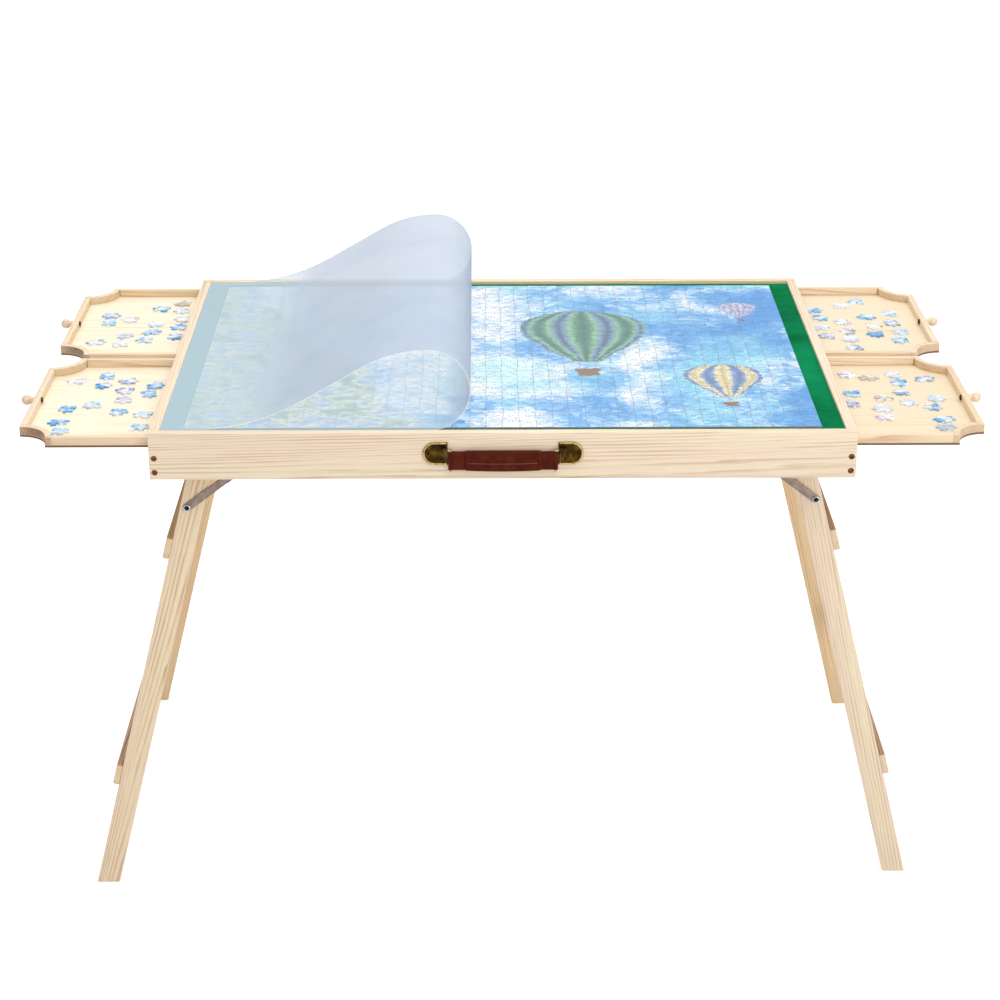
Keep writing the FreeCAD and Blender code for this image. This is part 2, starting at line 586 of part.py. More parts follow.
def make_cover():
    """The clear sheet, turned back on itself: flat on the puzzle, over in a roll and down to the left."""
    half = size("cover_thickness") / 2
    low_z = size("table_height") - size("felt_recess") + size("puzzle_thickness") + size("cover_gap") + half
    layer_step = size("cover_thickness") + size("cover_gap")
    roll, crest, toe = size("cover_roll_radius"), size("cover_crest_radius"), size("cover_toe_radius")
    fall = 2 * roll - layer_step
    width = size("cover_flat_run") - size("cover_flap_rest")
    slope_run = math.sqrt(width ** 2 + fall ** 2 - 2 * (crest + toe) * fall)
    slope = math.atan2(width, crest + toe - fall) - math.atan2(slope_run, crest + toe)
    path = [("run", size("cover_flat_run")), ("bend", roll, math.pi), ("bend", crest, slope),
            ("run", slope_run), ("bend", -toe, slope), ("run", size("cover_flap_rest"))]

    place = FreeCAD.Vector(size("rail_thickness") + size("cover_gap") - size("table_length") / 2, 0, low_z)
    heading = 0.0
    sides = {1: [], -1: []}
    for kind, *measure in path:
        ahead = FreeCAD.Vector(math.cos(heading), 0, math.sin(heading))
        left = FreeCAD.Vector(-math.sin(heading), 0, math.cos(heading))
        if kind == "run":
            end = place + ahead * measure[0]
            for sign, edges in sides.items():
                aside = left * (sign * half)
                edges.append(Part.LineSegment(place + aside, end + aside).toShape())
            place = end
            continue
        radius, turn = measure
        center = place + left * radius
        turned = math.copysign(turn, radius)

        def on_arc(share, offset):
            angle = heading + turned * share
            return center - FreeCAD.Vector(-math.sin(angle), 0, math.cos(angle)) * (radius - offset)

        for sign, edges in sides.items():
            points = [on_arc(share, sign * half) for share in (0, 0.5, 1)]
            edges.append(Part.Arc(*points).toShape())
        place = on_arc(1, 0)
        heading += turned

    starts = [sides[sign][0].Vertexes[0].Point for sign in (1, -1)]
    ends = [sides[sign][-1].Vertexes[-1].Point for sign in (1, -1)]
    caps = [Part.LineSegment(*starts).toShape(), Part.LineSegment(*ends).toShape()]
    outline = Part.Wire(Part.__sortEdges__(sides[1] + sides[-1] + caps))
    depth = size("table_depth") - 2 * (size("rail_thickness") + size("cover_side_margin"))
    strip = Part.Face(outline).extrude(FreeCAD.Vector(0, depth, 0))
    item = document.addObject("Part::Feature", "cover_roll")
    item.Shape = strip
    item.Placement = FreeCAD.Placement(FreeCAD.Vector(0, -depth / 2, 0), FreeCAD.Rotation())
    keep(item, "cover_sheet")


make_case()
make_handle()
for tray_side in (LEFT, RIGHT):
    for tray_end in (FRONT, REAR):
        make_drawer(tray_side, tray_end)
left_fittings = make_leg_frame(LEFT)
right_fittings = make_leg_frame(RIGHT)
for group_label, left_group, right_group in zip(("pivot_bolts", "leg_cleats", "brace_anchors"),
                                                left_fittings, right_fittings):
    keep(gather(f"{group_label}_group", *left_group, *right_group), group_label)
make_cover()
document.recompute()

failed = [item.Name for item in document.Objects if {"Invalid", "Error"} & set(item.State)]
failed += [item.Label for item in part_list if item.Shape.isNull() or not item.Shape.isValid()]
if failed:
    raise RuntimeError(f"these objects did not build: {failed}")

os.makedirs("parts", exist_ok=True)
for item in part_list:
    item.Shape.exportStep(f"parts/{item.Label}.step")
    print(item.Label, len(item.Shape.Solids), "solids", round(item.Shape.Volume), "mm3")
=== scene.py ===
"""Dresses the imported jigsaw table: softened pine boards, felt, a cut jigsaw under a folded cover sheet,
sorting trays with loose pieces, a leather handle, and brass and steel fittings. All lengths are in metres."""
import json
import math
import random
from contextlib import contextmanager
from itertools import product

import bmesh
import bpy
from bpy.props import FloatProperty, FloatVectorProperty, IntProperty, PointerProperty
from mathutils import Matrix, Vector

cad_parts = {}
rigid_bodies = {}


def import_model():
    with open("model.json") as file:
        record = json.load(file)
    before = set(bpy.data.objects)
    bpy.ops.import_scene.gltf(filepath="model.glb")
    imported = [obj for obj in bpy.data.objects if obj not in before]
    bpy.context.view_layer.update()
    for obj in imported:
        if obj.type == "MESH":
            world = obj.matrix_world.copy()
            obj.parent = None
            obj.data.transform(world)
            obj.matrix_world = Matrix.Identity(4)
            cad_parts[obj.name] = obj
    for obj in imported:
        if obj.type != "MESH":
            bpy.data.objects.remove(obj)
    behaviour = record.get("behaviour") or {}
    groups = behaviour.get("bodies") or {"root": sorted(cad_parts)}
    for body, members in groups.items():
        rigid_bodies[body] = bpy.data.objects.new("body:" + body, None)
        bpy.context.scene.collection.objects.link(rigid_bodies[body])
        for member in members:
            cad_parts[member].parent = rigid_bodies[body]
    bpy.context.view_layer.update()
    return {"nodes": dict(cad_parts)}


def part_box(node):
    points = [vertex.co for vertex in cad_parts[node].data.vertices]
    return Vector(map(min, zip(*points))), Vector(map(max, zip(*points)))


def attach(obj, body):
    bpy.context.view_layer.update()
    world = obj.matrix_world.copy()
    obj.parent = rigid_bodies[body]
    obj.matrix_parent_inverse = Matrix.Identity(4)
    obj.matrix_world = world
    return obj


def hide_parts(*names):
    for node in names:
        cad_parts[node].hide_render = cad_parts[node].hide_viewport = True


bl_info = {
    "name": "Jigsaw table finish",
    "version": (1, 0, 0),
    "blender": (4, 5, 0),
    "location": "View3D > Sidebar > Jigsaw table",
    "description": "Dresses the packed jigsaw table with its boards, cloth, jigsaw, cover and fittings",
    "category": "Object",
}

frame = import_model()

MM = 0.001
ALONG = Vector((1, 0, 0))
ACROSS = Vector((0, 1, 0))
UP = Vector((0, 0, 1))
DRAWERS = ("front_left", "rear_left", "front_right", "rear_right")
SIDE_SIGNS = {"left": -1, "right": 1}
LEG_SPLAY = math.radians(14.3)

# Mesh clean-up limits.
MERGE_DISTANCE = 0.01 * MM
FLAT_ANGLE = math.radians(1)
SHARP_ANGLE = math.radians(30)
SMOOTH_ANGLE = math.radians(38)
HOLE_SPREAD = 12 * MM

# Case boards: share of the yellower pine, edge rounding in millimetres.
CASE_BOARDS = {
    "front_rail": (0.10, 0.9),
    "back_rail": (0.35, 0.9),
    "side_rail_left": (0.45, 0.7),
    "side_rail_right": (0.30, 0.7),
    "side_strips": (0.15, 0.7),
    "center_divider": (0.50, 0.5),
    "drawer_stops": (0.55, 0.5),
    "leg_cleats": (0.60, 0.8),
}
PLY_PANELS = ("top_board", "drawer_deck")
PLY_ROUNDING = 0.25 * MM

# Share of the yellower pine in the other wooden pieces, and how far single boards stray from it.
FRONT_LEG_TONES = {"left": 0.32, "right": 0.0}
REAR_LEG_TONE = 0.85
CROSSBAR_TONE = 0.4
TRAY_END_TONE = 0.3
TRAY_WALL_TONE = 0.35
CORNER_TONE = 0.45
KNOB_TONE = 0.2
TONE_SPREAD = 0.12
# Share of painted shade on the tray floors: the right floors darken as if they caught less light.
FLOOR_SHADES = {"left": 0.0, "right": 0.6}
# How far cut fibres darken the faces that look along the grain and against it, and how far painted shade
# darkens upward faces.
# The left scoops' heavier weights are partly painted shade, for light that falls from the right.
SCOOP_END_AND_SHADE_WEIGHTS = {"left": (3.0, 0.7), "right": (0.9, 0.6)}
# The crossbars' top weight is painted shade, standing in for the shade that the case casts on their upper
# faces.
CROSSBAR_WEIGHTS = {"end_weights": (0.25, 0.25), "top_shade_weight": 2.4}


def linear_rgb(hex_code):
    """An sRGB hex colour as linear red, green and blue."""
    channels = [int(hex_code[start:start + 2], 16) / 255 for start in (0, 2, 4)]
    return tuple(c / 12.92 if c <= 0.04045 else ((c + 0.055) / 1.055) ** 2.4 for c in channels)


def rgba(colour):
    """A hex code or a linear colour with full alpha, as shader sockets take it."""
    return (*(linear_rgb(colour) if isinstance(colour, str) else colour), 1)


# Settings


def hue(name, text, hex_code):
    return FloatVectorProperty(name=name, description=text, default=linear_rgb(hex_code), size=3,
                               subtype="COLOR", min=0, max=1)


def span(name, text, metres):
    return FloatProperty(name=name, description=text, default=metres, min=0, precision=5,
                         unit="LENGTH", subtype="DISTANCE")


def part(name, text, default):
    return FloatProperty(name=name, description=text, default=default, min=0, max=1, subtype="FACTOR")


def slant(name, text, degrees):
    return FloatProperty(name=name, description=text, default=math.radians(degrees),
                         unit="ROTATION", subtype="ANGLE")


class TimberSettings(bpy.types.PropertyGroup):
    early: hue("Earlywood", "Pale wood between the ring lines", "F5DEC6")
    sap: hue("Sapwood", "Straw-coloured stretches of the pale wood", "F2E2C4")
    late: hue("Latewood", "Ring lines of the pine", "B88457")
    aged: hue("Yellower pine", "Pale wood of the boards that have yellowed", "EDCB98")
    # The end-grain colour also serves as painted shade on the crossbars' tops and the left trays' scoops.
    cut_end_and_shade: hue("End grain", "Darkening of the wood where its fibres are cut across", "9C8878")
    veneer: hue("Plywood face", "Birch veneer of the tray floors", "F8E8CB")
    # The darker veneer is painted shade for the right trays' floors, which catch less light than the left
    # ones.
    shaded_veneer: hue("Dull plywood face", "Birch veneer of the tray floors that have dulled", "DFCCA8")
    # This dark brown covers the whole of each plywood edge, not only its middle layer.
    core: hue("Plywood core", "Middle layer of the plywood", "7A5238")
    ring_spacing: span("Ring spacing", "Distance between ring lines on a flat board", 2.4 * MM)
    tray_rounding: span("Tray edge rounding", "Rounding of the tray walls", 0.6 * MM)
    leg_rounding: span("Leg edge rounding", "Rounding of the legs and crossbars", 1.4 * MM)


class PuzzleSettings(bpy.types.PropertyGroup):
    columns: IntProperty(name="Columns", description="Jigsaw pieces along the table", default=38, min=2)
    rows: IntProperty(name="Rows", description="Jigsaw pieces across the table", default=28, min=2)
    groove: span("Groove", "Width and depth of the pressed edge round each piece", 0.32 * MM)
    loose: IntProperty(name="Loose pieces", description="Loose pieces along each tray", default=11, min=1)
    # On the pressed grooves this grey also stands as painted shade that draws the cut lines.
    card: hue("Card", "Grey board that the print is glued to", "8E9499")
    sky: hue("Sky", "Clear sky of the print", "4597DD")
    cloud: hue("Cloud", "Clouds of the print", "FAFBFD")


class CoverSettings(bpy.types.PropertyGroup):
    sheen: hue("Sheet", "Milky colour of the cover sheet where it is raised", "B9C5D5")
    # The lying colour is partly the sheet's own milk and partly a painted tint of the light that the felt and
    # print send back into it.
    lying_with_bounce_light: hue("Lying sheet", "Milky colour of the cover sheet where it lies flat", "B9CDD9")
    opacity: part("Opacity", "Share of light that each face of the raised sheet stops", 0.6)
    felt_opacity: part("Opacity over felt", "The same where the sheet lies on the felt", 0.37)
    lying_opacity: part("Opacity over print", "The same where the sheet lies on the print", 0.34)
    flap_opacity: part("Flap opacity", "The same where the flap lies on the sheet", 0.2)
    felt: hue("Felt", "Green of the felt", "057D4B")


class FittingSettings(bpy.types.PropertyGroup):
    brass: hue("Brass", "Antique brass of the plates", "412E0F")
    # The rubbed brass is partly worn metal and partly a painted highlight on the rims and wire loops.
    rubbed: hue("Rubbed brass", "Brass rims worn bright", "B79A62")
    bronze: hue("Bronzed steel", "Browned heads of the corner screws", "7C5034")
    # The recess colour is painted shade in the screws' recesses and the pins' sockets; the nails take it as
    # their own colour.
    recess: hue("Recess", "Darkened metal of the nails and of the screws' recesses", "20160C")
    steel: hue("Steel", "Zinc-plated steel of the folding stays", "86766C")
    pin: hue("Pins", "Bright zinc on the pins of the stays", "C9D2DA")
    leather: hue("Leather", "Dyed leather of the handle", "4F1A0C")
    thread: hue("Thread", "Stitching of the handle", "A0705A")
    stitch_pitch: span("Stitch pitch", "Distance from stitch to stitch", 3.4 * MM)


class StageSettings(bpy.types.PropertyGroup):
    eye: FloatVectorProperty(name="Camera place", description="Where the camera stands", size=3,
                             subtype="TRANSLATION", unit="LENGTH", default=(-0.02435, -2.8926, 1.6283))
    tilt: slant("Camera tilt", "Downward tilt", 22.58)
    turn: slant("Camera turn", "Turn about the vertical", -0.458)
    lens: FloatProperty(name="Lens", description="Focal length in millimetres", default=84.6, min=1)
    floor: hue("Floor", "Paint of the studio floor", "E9E9EA")


SETTINGS = {
    "table_timber": TimberSettings,
    "table_puzzle": PuzzleSettings,
    "table_cover": CoverSettings,
    "table_fittings": FittingSettings,
    "table_stage": StageSettings,
}


# Handling of objects and meshes


def deselect():
    if bpy.context.object and bpy.context.object.mode != "OBJECT":
        bpy.ops.object.mode_set(mode="OBJECT")
    bpy.ops.object.select_all(action="DESELECT")


def pick(*pieces):
    """Selects only these objects and makes the first one active."""
    deselect()
    for piece in pieces:
        piece.select_set(True)
    bpy.context.view_layer.objects.active = pieces[0]


def added(name):
    """Names the object that an operator has just added."""
    piece = bpy.context.object
    piece.name = name
    piece.data.name = name
    return piece


def apply_place(piece):
    pick(piece)
    bpy.ops.object.transform_apply(location=True, rotation=True, scale=True)


def add_primitive(name, kind, scale=(1, 1, 1), **settings):
    """Adds a mesh primitive of a given scale, with its place in its mesh."""
    deselect()
    getattr(bpy.ops.mesh, f"primitive_{kind}_add")(**settings)
    piece = added(name)
    piece.scale = scale
    apply_place(piece)
    return piece


def new_piece(name, mesh):
    piece = bpy.data.objects.new(name, mesh)
    bpy.context.collection.objects.link(piece)
    return piece


def line_piece(name, points):
    """A piece that is one open line of edges."""
    mesh = bpy.data.meshes.new(name)
    mesh.from_pydata(points, [(index, index + 1) for index in range(len(points) - 1)], [])
    return new_piece(name, mesh)


def open_edit(piece, kind, test):
    """Opens the piece in edit mode with its tested members selected, and holds on to none of them."""
    pick(piece)
    bpy.ops.object.mode_set(mode="EDIT")
    bpy.ops.mesh.select_mode(type=kind)
    bpy.ops.mesh.select_all(action="DESELECT")
    shell = bmesh.from_edit_mesh(piece.data)
    for member in {"VERT": shell.verts, "EDGE": shell.edges, "FACE": shell.faces}[kind]:
        if test(member):
            member.select_set(True)
    shell.select_flush_mode()
    bmesh.update_edit_mesh(piece.data)


@contextmanager
def editing(piece, kind, test=lambda member: True):
    """The piece in edit mode, with only the verts, edges or faces selected that pass the test."""
    open_edit(piece, kind, test)
    yield
    bpy.ops.object.mode_set(mode="OBJECT")


@contextmanager
def shell_of(mesh, keep=True):
    """A mesh's verts, edges and faces, which go back into the mesh unless they are only read."""
    shell = bmesh.new()
    shell.from_mesh(mesh)
    yield shell
    if keep:
        shell.to_mesh(mesh)
    shell.free()


def push(offset):
    """Extrudes what is selected by a vector."""
    bpy.ops.mesh.extrude_region_move(TRANSFORM_OT_translate={"value": offset})


def run_modifier(piece, kind, **settings):
    """Adds a modifier with its settings and applies it."""
    modifier = piece.modifiers.new(kind.lower(), kind)
    for setting, value in settings.items():
        setattr(modifier, setting, value)
    pick(piece)
    bpy.ops.object.modifier_apply(modifier=modifier.name)


def round_edges(piece, width, segments):
    run_modifier(piece, "BEVEL", width=width, segments=segments, limit_method="ANGLE",
                 angle_limit=SHARP_ANGLE)


def smooth(piece):
    pick(piece)
    bpy.ops.object.shade_smooth_by_angle(angle=SMOOTH_ANGLE)


def face_outwards(piece):
    with editing(piece, "FACE"):
        bpy.ops.mesh.normals_make_consistent(inside=False)


def join(name, pieces):
    pick(*pieces)
    if len(pieces) > 1:
        bpy.ops.object.join()
    return added(name)


def settle(piece, slot_name, materials, *node_names, body=None):
    """Gives the piece its materials; its slot name is not used. It stands for the nodes and rides on their
    body.
    """
    for material in materials:
        piece.data.materials.append(material)
    apply_place(piece)
    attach(piece, body or frame["nodes"][node_names[0]].parent.name.split(":", 1)[1])
    if node_names:
        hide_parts(*node_names)


def linked_groups(members, neighbours):
    """Splits mesh members into groups that hang together."""
    left = set(members)
    groups = []
    while left:
        group, front = set(), [left.pop()]
        while front:
            member = front.pop()
            group.add(member)
            for other in neighbours(member):
                if other in left:
                    left.remove(other)
                    front.append(other)
        groups.append(group)
    return groups


def islands(shell):
    """The separate solids of a mesh, as sets of verts, in a fixed order."""
    groups = linked_groups(shell.verts, lambda vert: [edge.other_vert(vert) for edge in vert.link_edges])
    return sorted(groups, key=lambda group: min(vert.index for vert in group))


def reach(verts):
    """Lowest and highest corners of some verts."""
    places = [vert.co for vert in verts]
    return [Vector([limit(place[axis] for place in places) for axis in range(3)]) for limit in (min, max)]


def corners_of(node_name):
    """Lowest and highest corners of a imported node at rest."""
    return [Vector(corner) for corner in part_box(node_name)]


def node_copy(node_name):
    """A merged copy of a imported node, with its flat faces whole again."""
    piece = new_piece(f"{node_name}_finish", frame["nodes"][node_name].data.copy())
    piece.data.materials.clear()
    pick(piece)
    if piece.data.has_custom_normals:
        bpy.ops.mesh.customdata_custom_splitnormals_clear()
    with editing(piece, "VERT"):
        bpy.ops.mesh.remove_doubles(threshold=MERGE_DISTANCE)
        bpy.ops.mesh.dissolve_limited(angle_limit=FLAT_ANGLE)
    return piece


def sharp_edges(shell):
    pairs = [edge for edge in shell.edges if len(edge.link_faces) == 2]
    return {edge for edge in pairs if edge.calc_face_angle(0) > SHARP_ANGLE}


def soften(piece, width, segments=2):
    """Rounds the outer edges. The rims of screw holes are small loops of their own and stay crisp."""
    with shell_of(piece.data) as shell:
        weights = shell.edges.layers.float.new("bevel_weight_edge")
        edges = sharp_edges(shell)
        touching = lambda edge: [other for vert in edge.verts for other in vert.link_edges if other in edges]
        for group in linked_groups(edges, touching):
            low, high = reach([vert for edge in group for vert in edge.verts])
            if max(high - low) > HOLE_SPREAD:
                for edge in group:
                    edge[weights] = 1
    run_modifier(piece, "BEVEL", limit_method="WEIGHT", width=width, segments=segments)
    smooth(piece)


def board_axes(piece):
    """For each board of a piece: its middle, and its directions along, across and through the grain."""
    axes = []
    with shell_of(piece.data, keep=False) as shell:
        edges = sharp_edges(shell)
        for group in islands(shell):
            own = [edge for edge in edges if edge.verts[0] in group]
            own.sort(key=lambda edge: -edge.calc_length())
            runs = [(edge.verts[1].co - edge.verts[0].co).normalized() for edge in own]
            along = runs[0]
            across = next((run for run in runs if abs(run.dot(along)) < 0.2), along.orthogonal())
            across = (across - along * across.dot(along)).normalized()
            axes.append((sum(reach(group), Vector()) / 2, along, across, along.cross(across)))
    return axes


def lay_grain(piece, axes, seed, tone, end_weights=(1, 1), top_shade_weight=0):
    """Stores each board's own grain coordinates, how far a face is end grain or darkened by painted shade,
    and the board's tone.

    The end weights are those of the faces that look along the grain and against it. The top weight is that of
    upward faces, which it darkens as painted shade in the same way."""
    draw = random.Random(seed)
    with shell_of(piece.data) as shell:
        grain = shell.verts.layers.float_vector.new("grain")
        end_grain = shell.faces.layers.float.new("end_grain")
        board_tone = shell.faces.layers.float.new("board_tone")
        for group in islands(shell):
            center = sum(reach(group), Vector()) / 2
            middle, along, across, through = min(axes, key=lambda axis: (axis[0] - center).length)
            # Where the log's heart lies from the board's middle, and how far the grain drifts along it.
            heart = Vector((draw.uniform(1, 9), draw.choice((-1, 1)) * draw.uniform(0.015, 0.05),
                            draw.uniform(0.02, 0.06)))
            drift = draw.choice((-1, 1)) * draw.uniform(0.008, 0.022)
            own_tone = min(1, max(0, tone + draw.uniform(-TONE_SPREAD, TONE_SPREAD)))
            for vert in group:
                offset = vert.co - middle
                length = offset.dot(along)
                breadth = offset.dot(across) + drift * length
                vert[grain] = heart + Vector((length, breadth, offset.dot(through)))
            for face in {face for vert in group for face in vert.link_faces}:
                facing = face.normal.dot(along)
                cut_across_and_shade = end_weights[0 if facing > 0 else 1] * facing ** 2
                # Upward faces darken as painted shade, by the top weight.
                face[end_grain] = cut_across_and_shade + top_shade_weight * max(0, face.normal.z) ** 2
                face[board_tone] = own_tone


def dress_board(node_name, material, rounding, tone, **weights):
    """Replaces a wooden node by a softened copy with its own grain."""
    piece = node_copy(node_name)
    axes = board_axes(piece)
    soften(piece, rounding)
    lay_grain(piece, axes, node_name, tone, **weights)
    settle(piece, "pine", [material], node_name)


def dress_corners(node_name, material, rounding, end_weights):
    """Replaces the scooped corner blocks of a tray. Their fibres run outwards, so the scoop is end grain."""
    piece = node_copy(node_name)
    tray_y = sum(reach(piece.data.vertices), Vector()).y / 2
    axes = []
    for middle, *_ in board_axes(piece):
        along = Vector((math.copysign(1, middle.x), math.copysign(1, middle.y - tray_y), 0)).normalized()
        axes.append((middle, along, along.cross(UP), UP))
    soften(piece, rounding)
    # On the left trays the heavier weights add painted shade to the scoops.
    lay_grain(piece, axes, node_name, CORNER_TONE, end_weights)
    settle(piece, "pine", [material], node_name)


def dress_panel(node_name, material, tone):
    """Replaces a plywood node by a softened copy whose edges take a dark brown."""
    piece = node_copy(node_name)
    soften(piece, PLY_ROUNDING, 1)
    lay_grain(piece, [(Vector(), ALONG, ACROSS, UP)], node_name, tone)
    with shell_of(piece.data) as shell:
        rim = shell.faces.layers.float.new("rim")
        for face in shell.faces:
            face[rim] = 1 - abs(face.normal.z)
    settle(piece, "plywood", [material], node_name)


def dress_metal(node_name, material, slot_name, rounding):
    """Replaces a metal or leather node by a copy with softened edges."""
    piece = node_copy(node_name)
    soften(piece, rounding)
    settle(piece, slot_name, [material], node_name)
    return piece


def place_copies(name, template, places):
    """One object made of copies of a template, each at its own place. The template itself goes."""
    copies = []
    for place in places:
        copy = new_piece(name, template.data.copy())
        copy.data.transform(place)
        if place.determinant() < 0:
            copy.data.flip_normals()
        copies.append(copy)
    bpy.data.objects.remove(template)
    return join(name, copies)


def aim_up(direction, spin):
    """Turns a template that points up to a direction, with a spin about itself."""
    return direction.to_track_quat("Z", "Y").to_matrix().to_4x4() @ Matrix.Rotation(spin, 4, "Z")


# Materials


def fill_inputs(shader, links):
    """Gives each named input of a shader node a socket to follow or a value to hold."""
    for name, value in links.items():
        if isinstance(value, bpy.types.NodeSocket):
            shader.id_data.links.new(value, shader.inputs[name])
        else:
            shader.inputs[name].default_value = value


def add_node(tree, kind, links=None, out=0, stops=(), **settings):
    """Adds a shader node with its settings, inputs and ramp stops. Returns an output, or an end node."""
    shader = tree.nodes.new(f"ShaderNode{kind}")
    for setting, value in settings.items():
        setattr(shader, setting, value)
    fill_inputs(shader, links or {})
    if stops:
        elements = shader.color_ramp.elements
        while len(elements) < len(stops):
            elements.new(1)
        for element, (position, colour) in zip(elements, stops):
            element.position = position
            element.color = rgba(colour)
    return shader.outputs[out] if shader.outputs else shader


# Numbers of the Mix node's inputs, and its settings and output for a mix of colours or of vectors.
MIX_FACTOR, MIX_A, MIX_B = 0, 6, 7
MIX_VECTOR_A, MIX_VECTOR_B = 4, 5
COLOURS = {"data_type": "RGBA", "out": 2}
MULTIPLIED = {"blend_type": "MULTIPLY", **COLOURS}
VECTORS = {"data_type": "VECTOR", "out": 1}


def start_material(name, **skin):
    """A new material with its principled shader, whose plain values are given by socket name."""
    material = bpy.data.materials.get(name)
    if material:
        bpy.data.materials.remove(material)
    material = bpy.data.materials.new(name)
    material.use_nodes = True
    tree = material.node_tree
    shader = next(entry for entry in tree.nodes if entry.type == "BSDF_PRINCIPLED")
    fill_inputs(shader, {socket.replace("_", " "): value for socket, value in skin.items()})
    return material, tree, shader


def mottled(name, stops, patch, detail=3, satin=None, relief=0, **skin):
    """A material whose colour wanders through some stops, in patches of a given size.

    satin is the range of roughness over the same patches, and relief the strength of their bump."""
    material, tree, shader = start_material(name, **skin)
    place = add_node(tree, "TexCoord", out="Object")
    cloudy = add_node(tree, "TexNoise", {"Vector": place, "Scale": 1 / patch, "Detail": detail})
    links = {"Base Color": add_node(tree, "ValToRGB", {"Fac": cloudy}, stops=stops)}
    if satin:
        links["Roughness"] = add_node(tree, "MapRange", {"Value": cloudy, "To Min": satin[0],
                                                         "To Max": satin[1]})
    if relief:
        links["Normal"] = add_node(tree, "Bump", {"Height": cloudy, "Strength": relief, "Distance": 0.1 * MM})
    fill_inputs(shader, links)
    return material


# A wave pattern of scale 1 repeats every 0.314 m.
WAVE_REPEAT = 0.314


def planed_pine(timber):
    """Planed pine under clear lacquer: pale earlywood, thin brown ring lines that come and go, satin skin."""
    material, tree, skin = start_material("planed_pine", IOR=1.5, Coat_Weight=0.1)
    grain = add_node(tree, "Attribute", out="Vector", attribute_name="grain")
    ends_and_shade = add_node(tree, "Attribute", out="Fac", attribute_name="end_grain")
    tone = add_node(tree, "Attribute", out="Fac", attribute_name="board_tone")
    stretched = add_node(tree, "Mapping", {"Vector": grain, "Scale": (0.05, 1, 1)})
    rings = add_node(tree, "TexWave", {"Vector": stretched, "Scale": WAVE_REPEAT / timber.ring_spacing,
                                       "Distortion": 8, "Detail": 3, "Detail Scale": 0.4}, "Fac",
                     wave_type="RINGS", rings_direction="X", wave_profile="SAW")
    lines = add_node(tree, "ValToRGB", {"Fac": rings},
                     stops=[(0.45, "000000"), (0.88, "FFFFFF"), (0.98, "000000")])
    # Some years leave a strong line and others hardly any; a patch of such years is about 8 mm wide.
    years = add_node(tree, "TexNoise", {"Vector": stretched, "Scale": 1 / (8.333 * MM), "Detail": 3,
                                        "Roughness": 0.6})
    strength = add_node(tree, "MapRange", {"Value": years, "From Min": 0.38, "From Max": 0.66,
                                           "To Min": 0.06, "To Max": 0.85})
    # Fibres are under 0.1 mm wide; they are drawn at 2 mm to show in a picture of the whole table.
    fibres = add_node(tree, "TexNoise", {"Vector": stretched, "Scale": 1 / (2 * MM), "Detail": 4,
                                         "Roughness": 0.7})
    patches = add_node(tree, "TexNoise", {"Vector": stretched, "Scale": 1 / (25 * MM), "Detail": 2})
    patch_share = add_node(tree, "MapRange", {"Value": patches, "From Min": 0.35, "From Max": 0.65})
    fresh = add_node(tree, "Mix", {MIX_FACTOR: patch_share, MIX_A: rgba(timber.early),
                                   MIX_B: rgba(timber.sap)}, **COLOURS)
    pale = add_node(tree, "Mix", {MIX_FACTOR: tone, MIX_A: fresh, MIX_B: rgba(timber.aged)}, **COLOURS)
    drawn = add_node(tree, "Math", {0: lines, 1: strength}, operation="MULTIPLY")
    boost = add_node(tree, "Math", {0: ends_and_shade, 1: 0.5, 2: 0.9}, operation="MULTIPLY_ADD")
    share = add_node(tree, "Math", {0: drawn, 1: boost}, operation="MULTIPLY", use_clamp=True)
    ringed = add_node(tree, "Mix", {MIX_FACTOR: share, MIX_A: pale, MIX_B: rgba(timber.late)}, **COLOURS)
    streak = add_node(tree, "MapRange", {"Value": fibres, "From Min": 0.3, "From Max": 0.7,
                                         "To Min": 0.91, "To Max": 1.03})
    streaked = add_node(tree, "Mix", {MIX_FACTOR: 1, MIX_A: ringed, MIX_B: streak}, **MULTIPLIED)
    # Faces marked as end grain darken towards the end-grain colour; on the crossbars' tops and the left
    # trays' scoops this darkening is painted shade.
    end_and_shade_share = add_node(tree, "Math", {0: ends_and_shade, 1: 0.3}, operation="MULTIPLY")
    darkened_and_shaded = add_node(tree, "Mix", {MIX_FACTOR: end_and_shade_share, MIX_A: streaked, MIX_B: rgba(timber.cut_end_and_shade)},
                        **MULTIPLIED)
    gloss = add_node(tree, "MapRange", {"Value": lines, "To Min": 0.52, "To Max": 0.4})
    relief = add_node(tree, "Math", {0: fibres, 1: drawn}, operation="ADD")
    bump = add_node(tree, "Bump", {"Height": relief, "Strength": 0.12, "Distance": 0.1 * MM})
    fill_inputs(skin, {"Base Color": darkened_and_shaded, "Roughness": gloss, "Normal": bump})
    return material


